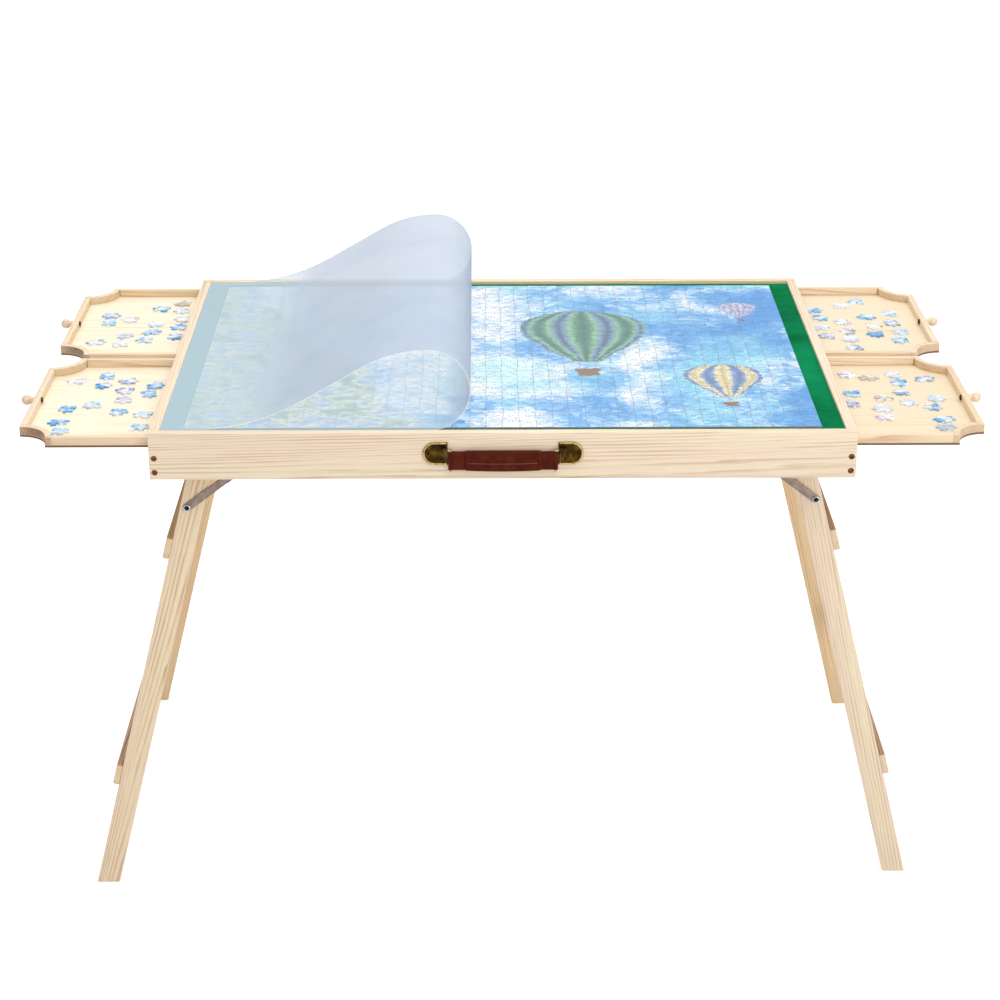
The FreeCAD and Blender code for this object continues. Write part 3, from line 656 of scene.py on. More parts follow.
def birch_plywood(timber):
    """Three-layer birch plywood: smooth pale veneers with faint long figure; its edges, the faces that look
    sideways, take a dark brown.
    """
    material, tree, skin = start_material("birch_plywood", Roughness=0.5, IOR=1.5)
    grain = add_node(tree, "Attribute", out="Vector", attribute_name="grain")
    rim = add_node(tree, "Attribute", out="Fac", attribute_name="rim")
    tone = add_node(tree, "Attribute", out="Fac", attribute_name="board_tone")
    stretched = add_node(tree, "Mapping", {"Vector": grain, "Scale": (0.03, 1, 1)})
    # The figure of the veneer is about 6 mm wide.
    figure = add_node(tree, "TexNoise", {"Vector": stretched, "Scale": 1 / (5.882 * MM), "Detail": 4,
                                         "Roughness": 0.6, "Distortion": 0.4})
    face = add_node(tree, "ValToRGB", {"Fac": figure},
                    stops=[(0.32, "EBD4AE"), (0.44, timber.veneer), (0.7, "FAEED8")])
    # On the tray floors the board's tone is a share of painted shade.
    painted_shade = add_node(tree, "Mix", {MIX_FACTOR: tone, MIX_A: face, MIX_B: rgba(timber.shaded_veneer)},
                      **COLOURS)
    edged = add_node(tree, "Mix", {MIX_FACTOR: rim, MIX_A: painted_shade, MIX_B: rgba(timber.core)}, **COLOURS)
    bump = add_node(tree, "Bump", {"Height": figure, "Strength": 0.1, "Distance": 0.1 * MM})
    fill_inputs(skin, {"Base Color": edged, "Normal": bump})
    return material


def wool_felt(cover):
    """Pressed wool felt: matt tangled fibres in uneven greens, with a soft bloom of light at low angles."""
    material, tree, skin = start_material("wool_felt", Roughness=0.95, IOR=1.45, Specular_IOR_Level=0.03,
                                          Sheen_Weight=0.008, Sheen_Roughness=0.5)
    place = add_node(tree, "TexCoord", out="Object")
    # Fibres tangle in clumps of about 3 mm; the fibres themselves are too fine to show.
    clumps = add_node(tree, "TexNoise", {"Vector": place, "Scale": 1 / (3.03 * MM), "Detail": 6,
                                         "Roughness": 0.75, "Distortion": 1.5})
    patches = add_node(tree, "TexNoise", {"Vector": place, "Scale": 1 / (71.43 * MM), "Detail": 3})
    mixed = add_node(tree, "Math", {0: clumps, 1: patches}, operation="ADD")
    halved = add_node(tree, "Math", {0: mixed, 1: 0.5}, operation="MULTIPLY")
    green = add_node(tree, "ValToRGB", {"Fac": halved},
                     stops=[(0.38, "016037"), (0.5, cover.felt), (0.62, "0A8B58")])
    bump = add_node(tree, "Bump", {"Height": clumps, "Strength": 0.6, "Distance": 0.4 * MM})
    fill_inputs(skin, {"Base Color": green, "Normal": bump})
    return material


# Path of the cover sheet from its fixed end: runs and bends, and the flap's rise where it lies on the sheet.
COVER_START_RUN = 318 * MM
COVER_ROLL_RADIUS = 50 * MM
COVER_CREST_RADIUS = 150 * MM
COVER_TOE_RADIUS = 270 * MM
COVER_FLAP_REST = 35 * MM
COVER_FLAP_RISE = 1.3 * MM
COVER_THICKNESS = 1 * MM
# Heights above the print between which the sheet turns clear, and how the flap is told from the sheet.
CLEAR_FROM, CLEAR_TO = 26 * MM, 4 * MM
FLAP_ABOVE = 1.15 * MM
FLAP_SHORT_OF_ROLL = 50 * MM


def frosted_sheet(cover):
    """Frosted plastic sheet: milky, faintly blue and satin. It clears where it touches what lies under it,
    and there its colour takes a painted tint of the light that the felt and print send back into it.
    """
    material, tree, skin = start_material("frosted_sheet", IOR=1.46, Specular_IOR_Level=0.03)
    place = add_node(tree, "TexCoord", out="Object")
    spot = add_node(tree, "SeparateXYZ", {0: place}).node.outputs
    low, high = corners_of("puzzle_panel")
    near = add_node(tree, "MapRange", {"Value": spot["Z"], "From Min": high.z + CLEAR_FROM,
                                       "From Max": high.z + CLEAR_TO})
    offset = add_node(tree, "VectorMath", {0: place, 1: (low + high) / 2}, operation="SUBTRACT")
    shares = add_node(tree, "VectorMath", {0: offset, 1: (high - low) / 2}, operation="DIVIDE")
    outwards = add_node(tree, "VectorMath", {0: shares}, operation="ABSOLUTE")
    parts = add_node(tree, "SeparateXYZ", {0: outwards}).node.outputs
    furthest = add_node(tree, "Math", {0: parts["X"], 1: parts["Y"]}, operation="MAXIMUM")
    over_print = add_node(tree, "Math", {0: furthest, 1: 1}, operation="LESS_THAN")
    start = corners_of("cover_sheet")[0]
    above = add_node(tree, "Math", {0: spot["Z"], 1: start.z + FLAP_ABOVE}, operation="GREATER_THAN")
    flap_end = start.x + COVER_START_RUN - FLAP_SHORT_OF_ROLL
    along = add_node(tree, "Math", {0: spot["X"], 1: flap_end}, operation="LESS_THAN")
    flap = add_node(tree, "Math", {0: above, 1: along}, operation="MULTIPLY")
    cleared = add_node(tree, "MapRange", {"Value": flap, "To Min": cover.lying_opacity,
                                          "To Max": cover.flap_opacity})
    touching = add_node(tree, "MapRange", {"Value": over_print, "To Min": cover.felt_opacity,
                                           "To Max": cleared})
    stopped = add_node(tree, "MapRange", {"Value": near, "To Min": cover.opacity, "To Max": touching})
    # The frosting is a fine emboss of about 0.2 mm, drawn at 2 mm and only as an uneven satin.
    haze = add_node(tree, "TexNoise", {"Vector": place, "Scale": 1 / (111.1 * MM), "Detail": 4})
    grit = add_node(tree, "TexNoise", {"Vector": place, "Scale": 1 / (2 * MM), "Detail": 3})
    raised = add_node(tree, "ValToRGB", {"Fac": haze},
                      stops=[(0.35, "B4C1D4"), (0.5, cover.sheen), (0.65, "BEC8D6")])
    # Where the sheet lies flat, its colour takes a painted tint of the light sent back by the felt and print.
    milk_with_bounce_light = add_node(tree, "Mix", {MIX_FACTOR: near, MIX_A: raised, MIX_B: rgba(cover.lying_with_bounce_light)}, **COLOURS)
    satin = add_node(tree, "MapRange", {"Value": grit, "To Min": 0.5, "To Max": 0.7})
    fill_inputs(skin, {"Base Color": milk_with_bounce_light, "Roughness": satin, "Alpha": stopped})
    return material


def cut_plastic():
    """The cut edge of the frosted sheet, which gathers light and looks whiter than its faces; the whiter
    colour is a painted highlight.
    """
    return mottled("cut_plastic", [(0.3, "E6EDF8"), (0.7, "FBFCFF")], 8.333 * MM,
                   Roughness=0.3, IOR=1.46, Alpha=0.65)


def grey_card(puzzle):
    """Pressed grey board, matt and flecked, seen at the cuts of the jigsaw: its own colour on the pieces'
    sides, and painted shade on the pressed grooves, where it draws the cut lines.
    """
    return mottled("grey_card", [(0.35, "6C7378"), (0.5, puzzle.card), (0.65, "A9AEB2")], 1.4286 * MM,
                   Roughness=0.9, IOR=1.45)


# A printed balloon from the foot of its basket to its crown: share of its height, half-width by its radius.
BALLOON_WIDTH_SHARES = (
    (0.0, 0.0), (0.004, 0.16), (0.1, 0.18), (0.104, 0.0), (0.205, 0.0), (0.21, 0.2), (0.29, 0.36),
    (0.42, 0.64), (0.52, 0.82), (0.61, 0.94), (0.69, 0.99), (0.74, 1.0), (0.82, 0.94), (0.885, 0.81),
    (0.935, 0.64), (0.968, 0.46), (0.99, 0.25), (1.0, 0.0),
)
BALLOON_FOOT_SHARE = -2.1
BASKET_TOP_SHARE = 0.12
BASKET = "8A6B4C"
GORE_TURN = 0.4
# The balloons of the print: place on the table, radius, and colours over half a gore.
BALLOONS = (
    ((0.115, 0.085), 0.085,
     [(0.0, "3F6F6B"), (0.10, "4F8C78"), (0.2, "8DBB9A"), (0.32, "6F93B5"), (0.4, "40607F")]),
    ((0.285, -0.10), 0.05, [(0.0, "D9C48A"), (0.16, "E9E0BE"), (0.26, "7E9CC9"), (0.4, "5B7DB0")]),
    ((0.33, 0.18), 0.026, [(0.0, "8A86B8"), (0.2, "D8D4EA"), (0.4, "6E8FB8")]),
)


def paint_balloon(tree, spot, under, middle, radius, gores):
    """Paints a striped hot-air balloon over a colour, at a place in metres on the print."""
    offset = add_node(tree, "VectorMath", {0: spot, 1: (*middle, 0)}, operation="SUBTRACT")
    shares = add_node(tree, "VectorMath", {0: offset, 1: (1 / radius, 1 / radius, 0)}, operation="MULTIPLY")
    parts = add_node(tree, "SeparateXYZ", {0: shares}).node.outputs
    height = add_node(tree, "MapRange", {"Value": parts["Y"], "From Min": BALLOON_FOOT_SHARE, "From Max": 1})
    girth = add_node(tree, "ValToRGB", {"Fac": height},
                     stops=[(share, (width, width, width)) for share, width in BALLOON_WIDTH_SHARES])
    off_axis = add_node(tree, "Math", {0: parts["X"]}, operation="ABSOLUTE")
    inside = add_node(tree, "Math", {0: off_axis, 1: girth}, operation="LESS_THAN")
    side = add_node(tree, "Math", {0: parts["X"], 1: girth}, operation="DIVIDE")
    turned = add_node(tree, "Math", {0: side}, operation="ARCSINE")
    stripe = add_node(tree, "Math", {0: turned, 1: GORE_TURN}, operation="PINGPONG")
    cloth = add_node(tree, "ValToRGB", {"Fac": stripe}, stops=gores)
    low = add_node(tree, "Math", {0: height, 1: BASKET_TOP_SHARE}, operation="LESS_THAN")
    whole = add_node(tree, "Mix", {MIX_FACTOR: low, MIX_A: cloth, MIX_B: rgba(BASKET)}, **COLOURS)
    return add_node(tree, "Mix", {MIX_FACTOR: inside, MIX_A: under, MIX_B: whole}, **COLOURS)


# How far the brush dabs sway and lean, and how many there are to a metre along and across.
DAB_SWAY = (25 * MM, 25 * MM, 0)
DAB_TURN = (0, 0, math.radians(-24))
DAB_COUNTS = (120, 250, 1)
LOOSE_DAB_TURN = (0, 0, 0.5)
LOOSE_DAB_COUNTS = (160, 320, 1)


def printed_card(puzzle):
    """Printed jigsaw card under thin varnish: a brushy picture of clouds, a flowering hill and balloons."""
    material, tree, skin = start_material("printed_card", Roughness=0.42, IOR=1.48)
    place = add_node(tree, "TexCoord", out="Object")
    # Each brush dab, about 8 by 4 mm, has the colour of its middle.
    wobble = add_node(tree, "TexNoise", {"Vector": place, "Scale": 1 / (40 * MM), "Detail": 2}, "Color")
    swayed = add_node(tree, "VectorMath", {0: wobble, 1: DAB_SWAY, 2: place}, operation="MULTIPLY_ADD")
    laid = add_node(tree, "Mapping", {"Vector": swayed, "Rotation": DAB_TURN, "Scale": DAB_COUNTS})
    dabs = add_node(tree, "TexVoronoi", {"Vector": laid, "Scale": 1}, voronoi_dimensions="2D").node.outputs
    shades = add_node(tree, "SeparateXYZ", {0: dabs["Color"]}).node.outputs
    spot = add_node(tree, "Mapping", {"Vector": dabs["Position"], "Rotation": DAB_TURN, "Scale": DAB_COUNTS},
                    vector_type="TEXTURE")
    parts = add_node(tree, "SeparateXYZ", {0: spot}).node.outputs
    billow = add_node(tree, "TexNoise", {"Vector": spot, "Scale": 1 / (125 * MM), "Detail": 6,
                                         "Roughness": 0.62, "Distortion": 0.5})
    # The clouds thin out towards the right, and their edges break up into dabs.
    thinned = add_node(tree, "Math", {0: parts["X"], 1: -0.45, 2: billow}, operation="MULTIPLY_ADD")
    ragged = add_node(tree, "Math", {0: shades["Y"], 1: 0.09, 2: thinned}, operation="MULTIPLY_ADD")
    sky = add_node(tree, "ValToRGB", {"Fac": ragged},
                   stops=[(0.34, puzzle.sky), (0.44, "78B6EB"), (0.5, "B4DAF6"), (0.54, "DCE4F6"),
                          (0.58, "E9F1F8"), (0.64, puzzle.cloud)])
    pools = add_node(tree, "TexNoise", {"Vector": spot, "Scale": 1 / (200 * MM), "Detail": 2})
    pool_share = add_node(tree, "MapRange", {"Value": pools, "From Min": 0.52, "From Max": 0.66,
                                             "To Max": 0.6})
    cyan = add_node(tree, "Mix", {MIX_FACTOR: pool_share, MIX_A: sky, MIX_B: rgba("9BE3F2")}, **COLOURS)
    bloom = add_node(tree, "TexNoise", {"Vector": spot, "Scale": 1 / (38.46 * MM), "Detail": 5,
                                        "Roughness": 0.7})
    meadow = add_node(tree, "ValToRGB", {"Fac": bloom},
                      stops=[(0.32, "7C9DB4"), (0.41, "A3BDA4"), (0.47, "DDE0B6"), (0.52, "F1EFDA"),
                             (0.57, "9DB9E0"), (0.63, "D0D5EE"), (0.7, "FAFAFD")])
    slope = add_node(tree, "Math", {0: parts["X"], 1: 2.67, 2: parts["Y"]}, operation="MULTIPLY_ADD")
    ridge = add_node(tree, "Math", {0: billow, 1: 0.58, 2: slope}, operation="MULTIPLY_ADD")
    hill = add_node(tree, "MapRange", {"Value": ridge, "From Min": -0.25, "From Max": -0.28})
    picture = add_node(tree, "Mix", {MIX_FACTOR: hill, MIX_A: cyan, MIX_B: meadow}, **COLOURS)
    # The balloons' outlines follow the dabs only in part, so that they stay round.
    outline = add_node(tree, "Mix", {MIX_FACTOR: 0.6, MIX_VECTOR_A: spot, MIX_VECTOR_B: place}, **VECTORS)
    for middle, radius, gores in BALLOONS:
        picture = paint_balloon(tree, outline, picture, middle, radius, gores)
    light = add_node(tree, "MapRange", {"Value": shades["X"], "To Min": 0.8, "To Max": 1.04})
    painted = add_node(tree, "Mix", {MIX_FACTOR: 1, MIX_A: picture, MIX_B: light}, **MULTIPLIED)
    linen = add_node(tree, "TexNoise", {"Vector": place, "Scale": 1 / (1.111 * MM), "Detail": 2})
    bump = add_node(tree, "Bump", {"Height": linen, "Strength": 0.08, "Distance": 0.05 * MM})
    fill_inputs(skin, {"Base Color": painted, "Normal": bump})
    return material


def loose_print(puzzle):
    """The print on the loose pieces: each has its own tint, broken by cloud white and deeper brush dabs."""
    material, tree, skin = start_material("loose_print", Roughness=0.42, IOR=1.48)
    tint = add_node(tree, "Attribute", attribute_name="tint")
    place = add_node(tree, "TexCoord", out="Object")
    laid = add_node(tree, "Mapping", {"Vector": place, "Rotation": LOOSE_DAB_TURN, "Scale": LOOSE_DAB_COUNTS})
    dabs = add_node(tree, "TexVoronoi", {"Vector": laid, "Scale": 1}, "Color", voronoi_dimensions="2D")
    shades = add_node(tree, "SeparateXYZ", {0: dabs}).node.outputs
    # White cloud covers patches of about a piece's size.
    billow = add_node(tree, "TexNoise", {"Vector": place, "Scale": 1 / (16.667 * MM), "Detail": 3})
    ragged = add_node(tree, "Math", {0: shades["Y"], 1: 0.14, 2: billow}, operation="MULTIPLY_ADD")
    cloud = add_node(tree, "MapRange", {"Value": ragged, "From Min": 0.5, "From Max": 0.66, "To Max": 0.85})
    clouded = add_node(tree, "Mix", {MIX_FACTOR: cloud, MIX_A: tint, MIX_B: rgba(puzzle.cloud)}, **COLOURS)
    light = add_node(tree, "MapRange", {"Value": shades["X"], "To Min": 0.72, "To Max": 1.05})
    painted = add_node(tree, "Mix", {MIX_FACTOR: 1, MIX_A: clouded, MIX_B: light}, **MULTIPLIED)
    fill_inputs(skin, {"Base Color": painted})
    return material


def antique_brass(fittings):
    """Cast brass with a brown antique patina in uneven patches."""
    return mottled("antique_brass", [(0.32, "2E2009"), (0.5, fittings.brass), (0.7, "674E22")], 9.091 * MM,
                   satin=(0.55, 0.3), relief=0.15, Metallic=1)


def rubbed_brass(fittings):
    """The raised rims of the brass plates, where handling has polished the patina away, and the wire loops;
    on both the brighter brass is also a painted highlight.
    """
    return mottled("rubbed_brass", [(0.3, "7D6436"), (0.5, fittings.rubbed), (0.7, "D2B67E")], 3.846 * MM, 4,
                   Metallic=1, Roughness=0.3)


def bronzed_steel(fittings):
    """Browned steel of the screw heads: coppery where it is rubbed, darker in spots."""
    return mottled("bronzed_steel", [(0.35, "56351F"), (0.5, fittings.bronze), (0.7, "9A6C48")], 2.5 * MM,
                   Metallic=1, Roughness=0.4)


def blackened_metal(fittings):
    """Near-black metal: painted shade in the recesses of the screws and the sockets of the pins, and the dark
    colour of the nail heads.
    """
    return mottled("blackened_metal", [(0.35, "0E0905"), (0.65, fittings.recess)], 2 * MM, 2,
                   Metallic=0.2, Roughness=0.5, Specular_IOR_Level=0.2)


def bright_zinc(fittings):
    """Bright zinc plating of the pins: smooth, cool and hardly worn."""
    return mottled("bright_zinc", [(0.35, "A9B4BE"), (0.6, fittings.pin)], 2.857 * MM,
                   Metallic=1, Roughness=0.22)


def zinc_steel(fittings):
    """Stamped, zinc-plated mild steel: grey with a warm cast, faint cloudy spangle and satin wear."""
    return mottled("zinc_steel", [(0.3, "76675E"), (0.5, fittings.steel), (0.7, "978980")], 6.667 * MM, 5,
                   satin=(0.28, 0.48), Metallic=1)


def waxed_thread(fittings):
    """Waxed linen thread: dull tan, twisted, lighter than the leather."""
    return mottled("waxed_thread", [(0.35, "74493A"), (0.65, fittings.thread)], 0.8333 * MM, 2,
                   Roughness=0.7, IOR=1.5)


def bridle_leather(fittings):
    """Dyed bridle leather: deep red-brown, fine pebbled grain, waxed to a soft shine that wears lighter."""
    material, tree, skin = start_material("bridle_leather", Roughness=0.48, IOR=1.4, Specular_IOR_Level=0.1)
    place = add_node(tree, "TexCoord", out="Object")
    # Leather pores are near 0.5 mm apart; they are drawn at 1.5 mm to show.
    pebbles = add_node(tree, "TexVoronoi", {"Vector": place, "Scale": 1 / (1.5385 * MM)})
    wear = add_node(tree, "TexNoise", {"Vector": place, "Scale": 1 / (14.286 * MM), "Detail": 5,
                                       "Roughness": 0.6})
    hide = add_node(tree, "ValToRGB", {"Fac": wear},
                    stops=[(0.3, "401306"), (0.5, fittings.leather), (0.72, "612413")])
    bump = add_node(tree, "Bump", {"Height": pebbles, "Strength": 0.35, "Distance": 0.15 * MM})
    fill_inputs(skin, {"Base Color": hide, "Normal": bump})
    return material


def seen_by_eye(tree):
    """One where a ray comes from the camera, a reflection or clear glass, else nothing."""
    path = add_node(tree, "LightPath").node.outputs
    direct = add_node(tree, "Math", {0: path["Is Camera Ray"], 1: path["Is Glossy Ray"]}, operation="ADD")
    return add_node(tree, "Math", {0: direct, 1: path["Is Transmission Ray"]}, operation="ADD",
                    use_clamp=True)


# Share of white that the floor adds where it is seen, and the light that the world sheds on the table.
FLOOR_GLOW = 0.5
WORLD_LIGHT = 0.62


def studio_floor(stage):
    """Matt painted studio floor. It shows the camera a near-white ground and keeps the table's shadow."""
    material = bpy.data.materials.new("studio_floor")
    material.use_nodes = True
    tree = material.node_tree
    tree.nodes.clear()
    place = add_node(tree, "TexCoord", out="Object")
    wash = add_node(tree, "TexNoise", {"Vector": place, "Scale": 3, "Detail": 2})
    paint = add_node(tree, "ValToRGB", {"Fac": wash}, stops=[(0.3, stage.floor), (0.7, "EDEDEE")])
    matt = add_node(tree, "BsdfDiffuse", {"Color": paint})
    glow_share = add_node(tree, "Math", {0: seen_by_eye(tree), 1: FLOOR_GLOW}, operation="MULTIPLY")
    glow = add_node(tree, "Emission", {"Color": (1, 1, 1, 1), "Strength": glow_share})
    add_node(tree, "OutputMaterial", {"Surface": add_node(tree, "AddShader", {0: matt, 1: glow})})
    return material


def studio_world():
    """White where it is seen, and a plain even light on the table."""
    world = bpy.data.worlds.new("studio_world")
    world.use_nodes = True
    tree = world.node_tree
    tree.nodes.clear()
    level = add_node(tree, "MapRange", {"Value": seen_by_eye(tree), "To Min": WORLD_LIGHT, "To Max": 1})
    sky = add_node(tree, "Background", {"Color": (1, 1, 1, 1), "Strength": level})
    add_node(tree, "OutputWorld", {"Surface": sky})
    return world


# Operators


# Lamps: place, width and power in watts. They all point at the middle of the table.
LAMPS = {
    "key_lamp": ((0.8, -1.3, 3.6), 3.0, 55),
    "fill_lamp": ((2.3, -3.2, 1.3), 2.4, 27),
    "back_lamp": ((-0.6, 2.2, 3.2), 2.6, 36),
}
LAMP_TARGET = Vector((0, 0, 0.5))
FLOOR_WIDTH = 14
FLOOR_MIDDLE = (0, 2, 0)
SENSOR_WIDTH = 36
VIEW_DEPTH = 50


class TABLE_OT_stage(bpy.types.Operator):
    """Lays the floor, hangs the lights and stands the camera where the photograph was taken from"""
    bl_idname = "table.stage"
    bl_label = "Stage"

    def execute(self, context):
        stage = context.scene.table_stage
        context.scene.view_settings.view_transform = "Standard"
        floor = add_primitive("studio_floor", "plane", size=FLOOR_WIDTH, location=FLOOR_MIDDLE)
        floor.data.materials.append(studio_floor(stage))

        deselect()
        bpy.ops.object.camera_add(location=stage.eye, rotation=(math.pi / 2 - stage.tilt, 0, stage.turn))
        camera = added("photo_camera")
        camera.data.lens = stage.lens
        camera.data.sensor_width = SENSOR_WIDTH
        camera.data.clip_end = VIEW_DEPTH
        context.scene.camera = camera

        for name, (place, width, watts) in LAMPS.items():
            aim = (LAMP_TARGET - Vector(place)).to_track_quat("-Z", "Y")
            deselect()
            bpy.ops.object.light_add(type="AREA", location=place, rotation=aim.to_euler())
            lamp = added(name)
            lamp.data.size = width
            lamp.data.energy = watts
        context.scene.world = studio_world()
        return {"FINISHED"}


class TABLE_OT_case(bpy.types.Operator):
    """Rounds and grains the rails, strips and inner boards of the case"""
    bl_idname = "table.case"
    bl_label = "Case boards"

    def execute(self, context):
        timber = context.scene.table_timber
        pine = planed_pine(timber)
        for node_name, (tone, rounding) in CASE_BOARDS.items():
            dress_board(node_name, pine, rounding * MM, tone)
        ply = birch_plywood(timber)
        for node_name in PLY_PANELS:
            dress_panel(node_name, ply, 0)
        return {"FINISHED"}


# Squares of the felt's mesh along and across, and the most that its nap sinks, as a share of its thickness.
FELT_SQUARES = (90, 65)
FELT_SINK_SHARE = 0.12


class TABLE_OT_felt(bpy.types.Operator):
    """Lays the felt on the top board"""
    bl_idname = "table.felt"
    bl_label = "Felt"

    def execute(self, context):
        low, high = corners_of("felt_surface")
        size = high - low
        middle = (low + high) / 2
        felt = add_primitive("felt_surface_finish", "grid", (size.x, size.y, 1), size=1,
                             x_subdivisions=FELT_SQUARES[0], y_subdivisions=FELT_SQUARES[1],
                             location=(middle.x, middle.y, low.z))
        run_modifier(felt, "SOLIDIFY", thickness=size.z, offset=1)
        # The nap sinks a little here and there, and never rises above the cut size.
        draw = random.Random("felt")
        for vert in felt.data.vertices:
            if vert.co.z > middle.z:
                vert.co.z -= draw.uniform(0, FELT_SINK_SHARE) * size.z
        smooth(felt)
        settle(felt, "felt", [wool_felt(context.scene.table_cover)], "felt_surface")
        return {"FINISHED"}


# Outline of a jigsaw tab between two corners: share along the edge, share of the edge's length outwards.
TAB_SHARES = ((0.22, -0.025), (0.40, -0.005), (0.425, 0.06), (0.375, 0.145), (0.42, 0.225), (0.50, 0.25),
              (0.58, 0.225), (0.625, 0.145), (0.575, 0.06), (0.60, -0.005), (0.78, -0.025))
# How far corners and tabs stray from an even cut, as shares of a piece.
CORNER_STRAY_SHARE = 0.06
TAB_SHIFT_SHARE = 0.06
TAB_LEAN_SHARE = 0.05


def tab_points(start, end, draw):
    """Points of a knobbed cut from one corner to the next."""
    run = end - start
    out = Vector((-run.y, run.x, 0)) * draw.choice((-1, 1)) * draw.uniform(0.86, 1.08)
    shift = draw.uniform(-TAB_SHIFT_SHARE, TAB_SHIFT_SHARE)
    lean = draw.uniform(-TAB_LEAN_SHARE, TAB_LEAN_SHARE)
    return [start + run * (along + shift + lean * away * 4) + out * away for along, away in TAB_SHARES]


def cut_jigsaw(columns, rows, low, high, level, draw):
    """Cuts a whole jigsaw. Returns one ring of points for each piece, by column and row."""
    pitch = Vector(((high.x - low.x) / columns, (high.y - low.y) / rows, 0))
    stray = lambda inner: inner * draw.uniform(-CORNER_STRAY_SHARE, CORNER_STRAY_SHARE)
    places = list(product(range(columns + 1), range(rows + 1)))
    corners = {}
    for column, row in places:
        corners[column, row] = Vector((low.x + pitch.x * (column + stray(0 < column < columns)),
                                       low.y + pitch.y * (row + stray(0 < row < rows)), level))
    level_cuts, upright_cuts = {}, {}
    for column, row in places:
        here = corners[column, row]
        if column < columns:
            inner = 0 < row < rows
            level_cuts[column, row] = tab_points(here, corners[column + 1, row], draw) if inner else []
        if row < rows:
            inner = 0 < column < columns
            upright_cuts[column, row] = tab_points(here, corners[column, row + 1], draw) if inner else []
    rings = {}
    for column, row in product(range(columns), range(rows)):
        rings[column, row] = [
            corners[column, row], *level_cuts[column, row],
            corners[column + 1, row], *upright_cuts[column + 1, row],
            corners[column + 1, row + 1], *reversed(level_cuts[column, row + 1]),
            corners[column, row + 1], *reversed(upright_cuts[column, row]),
        ]
    return rings


def ring_piece(name, rings):
    """A flat piece with one face for each ring of points. Rings that share points share verts."""
    mesh = bpy.data.meshes.new(name)
    with shell_of(mesh) as shell:
        verts = {}
        for ring in rings:
            for point in ring:
                if id(point) not in verts:
                    verts[id(point)] = shell.verts.new(point)
            shell.faces.new([verts[id(point)] for point in ring])
    return new_piece(name, mesh)


def print_faces(piece, level):
    """The level faces at the top take the first material, all others the second."""
    for face in piece.data.polygons:
        face.material_index = 0 if face.normal.z > 0.99 and abs(face.center.z - level) < 0.05 * MM else 1


class TABLE_OT_puzzle(bpy.types.Operator):
    """Cuts the jigsaw into its interlocking pieces"""
    bl_idname = "table.puzzle"
    bl_label = "Jigsaw"

    def execute(self, context):
        puzzle = context.scene.table_puzzle
        groove = puzzle.groove
        low, high = corners_of("puzzle_panel")
        rings = cut_jigsaw(puzzle.columns, puzzle.rows, low, high, high.z - groove, random.Random("jigsaw"))
        piece = ring_piece("puzzle_panel_finish", rings.values())
        with editing(piece, "FACE"):
            bpy.ops.mesh.inset(thickness=groove, depth=groove, use_individual=True)
        with editing(piece, "EDGE", lambda edge: edge.is_boundary):
            bpy.ops.mesh.extrude_edges_move(TRANSFORM_OT_translate={"value": (0, 0, low.z + groove - high.z)})
            bpy.ops.mesh.edge_face_add()
        face_outwards(piece)
        # The grooves take the grey card as painted shade that draws the cut lines.
        print_faces(piece, high.z)
        settle(piece, "printed_card", [printed_card(puzzle), grey_card(puzzle)], "puzzle_panel")
        return {"FINISHED"}


COVER_BANDS = 12
COVER_RUN_STEPS = 12
COVER_SLOPE_STEPS = 8
BEND_STEP = math.radians(4)
LEAST_BEND_STEPS = 6


def bend_steps(radius, angle):
    """A bend as a count of steps, the chord of each and its turn."""
    steps = max(LEAST_BEND_STEPS, int(abs(angle) / BEND_STEP))
    return steps, 2 * radius * math.sin(abs(angle) / steps / 2), angle / steps


def cover_path(start):
    """Points along the middle of the cover sheet, from its fixed end to the end of its flap."""
    # The slope between the crest and the toe bends runs down to where the flap lies on the sheet.
    drop = 2 * COVER_ROLL_RADIUS - COVER_FLAP_RISE
    bends = COVER_CREST_RADIUS + COVER_TOE_RADIUS
    back = COVER_START_RUN - COVER_FLAP_REST
    slope_run = math.sqrt(back ** 2 + (bends - drop) ** 2 - bends ** 2)
    slope = math.atan2(back, bends - drop) - math.atan2(slope_run, bends)
    stretches = (
        (COVER_RUN_STEPS, COVER_START_RUN / COVER_RUN_STEPS, 0),
        bend_steps(COVER_ROLL_RADIUS, math.pi),
        bend_steps(COVER_CREST_RADIUS, slope),
        (COVER_SLOPE_STEPS, slope_run / COVER_SLOPE_STEPS, 0),
        bend_steps(COVER_TOE_RADIUS, -slope),
        (1, COVER_FLAP_REST, 0),
    )
    path = [start]
    heading = 0
    for steps, chord, turn in stretches:
        for _ in range(steps):
            middle = heading + turn / 2
            path.append(path[-1] + chord * Vector((math.cos(middle), 0, math.sin(middle))))
            heading += turn
    return path


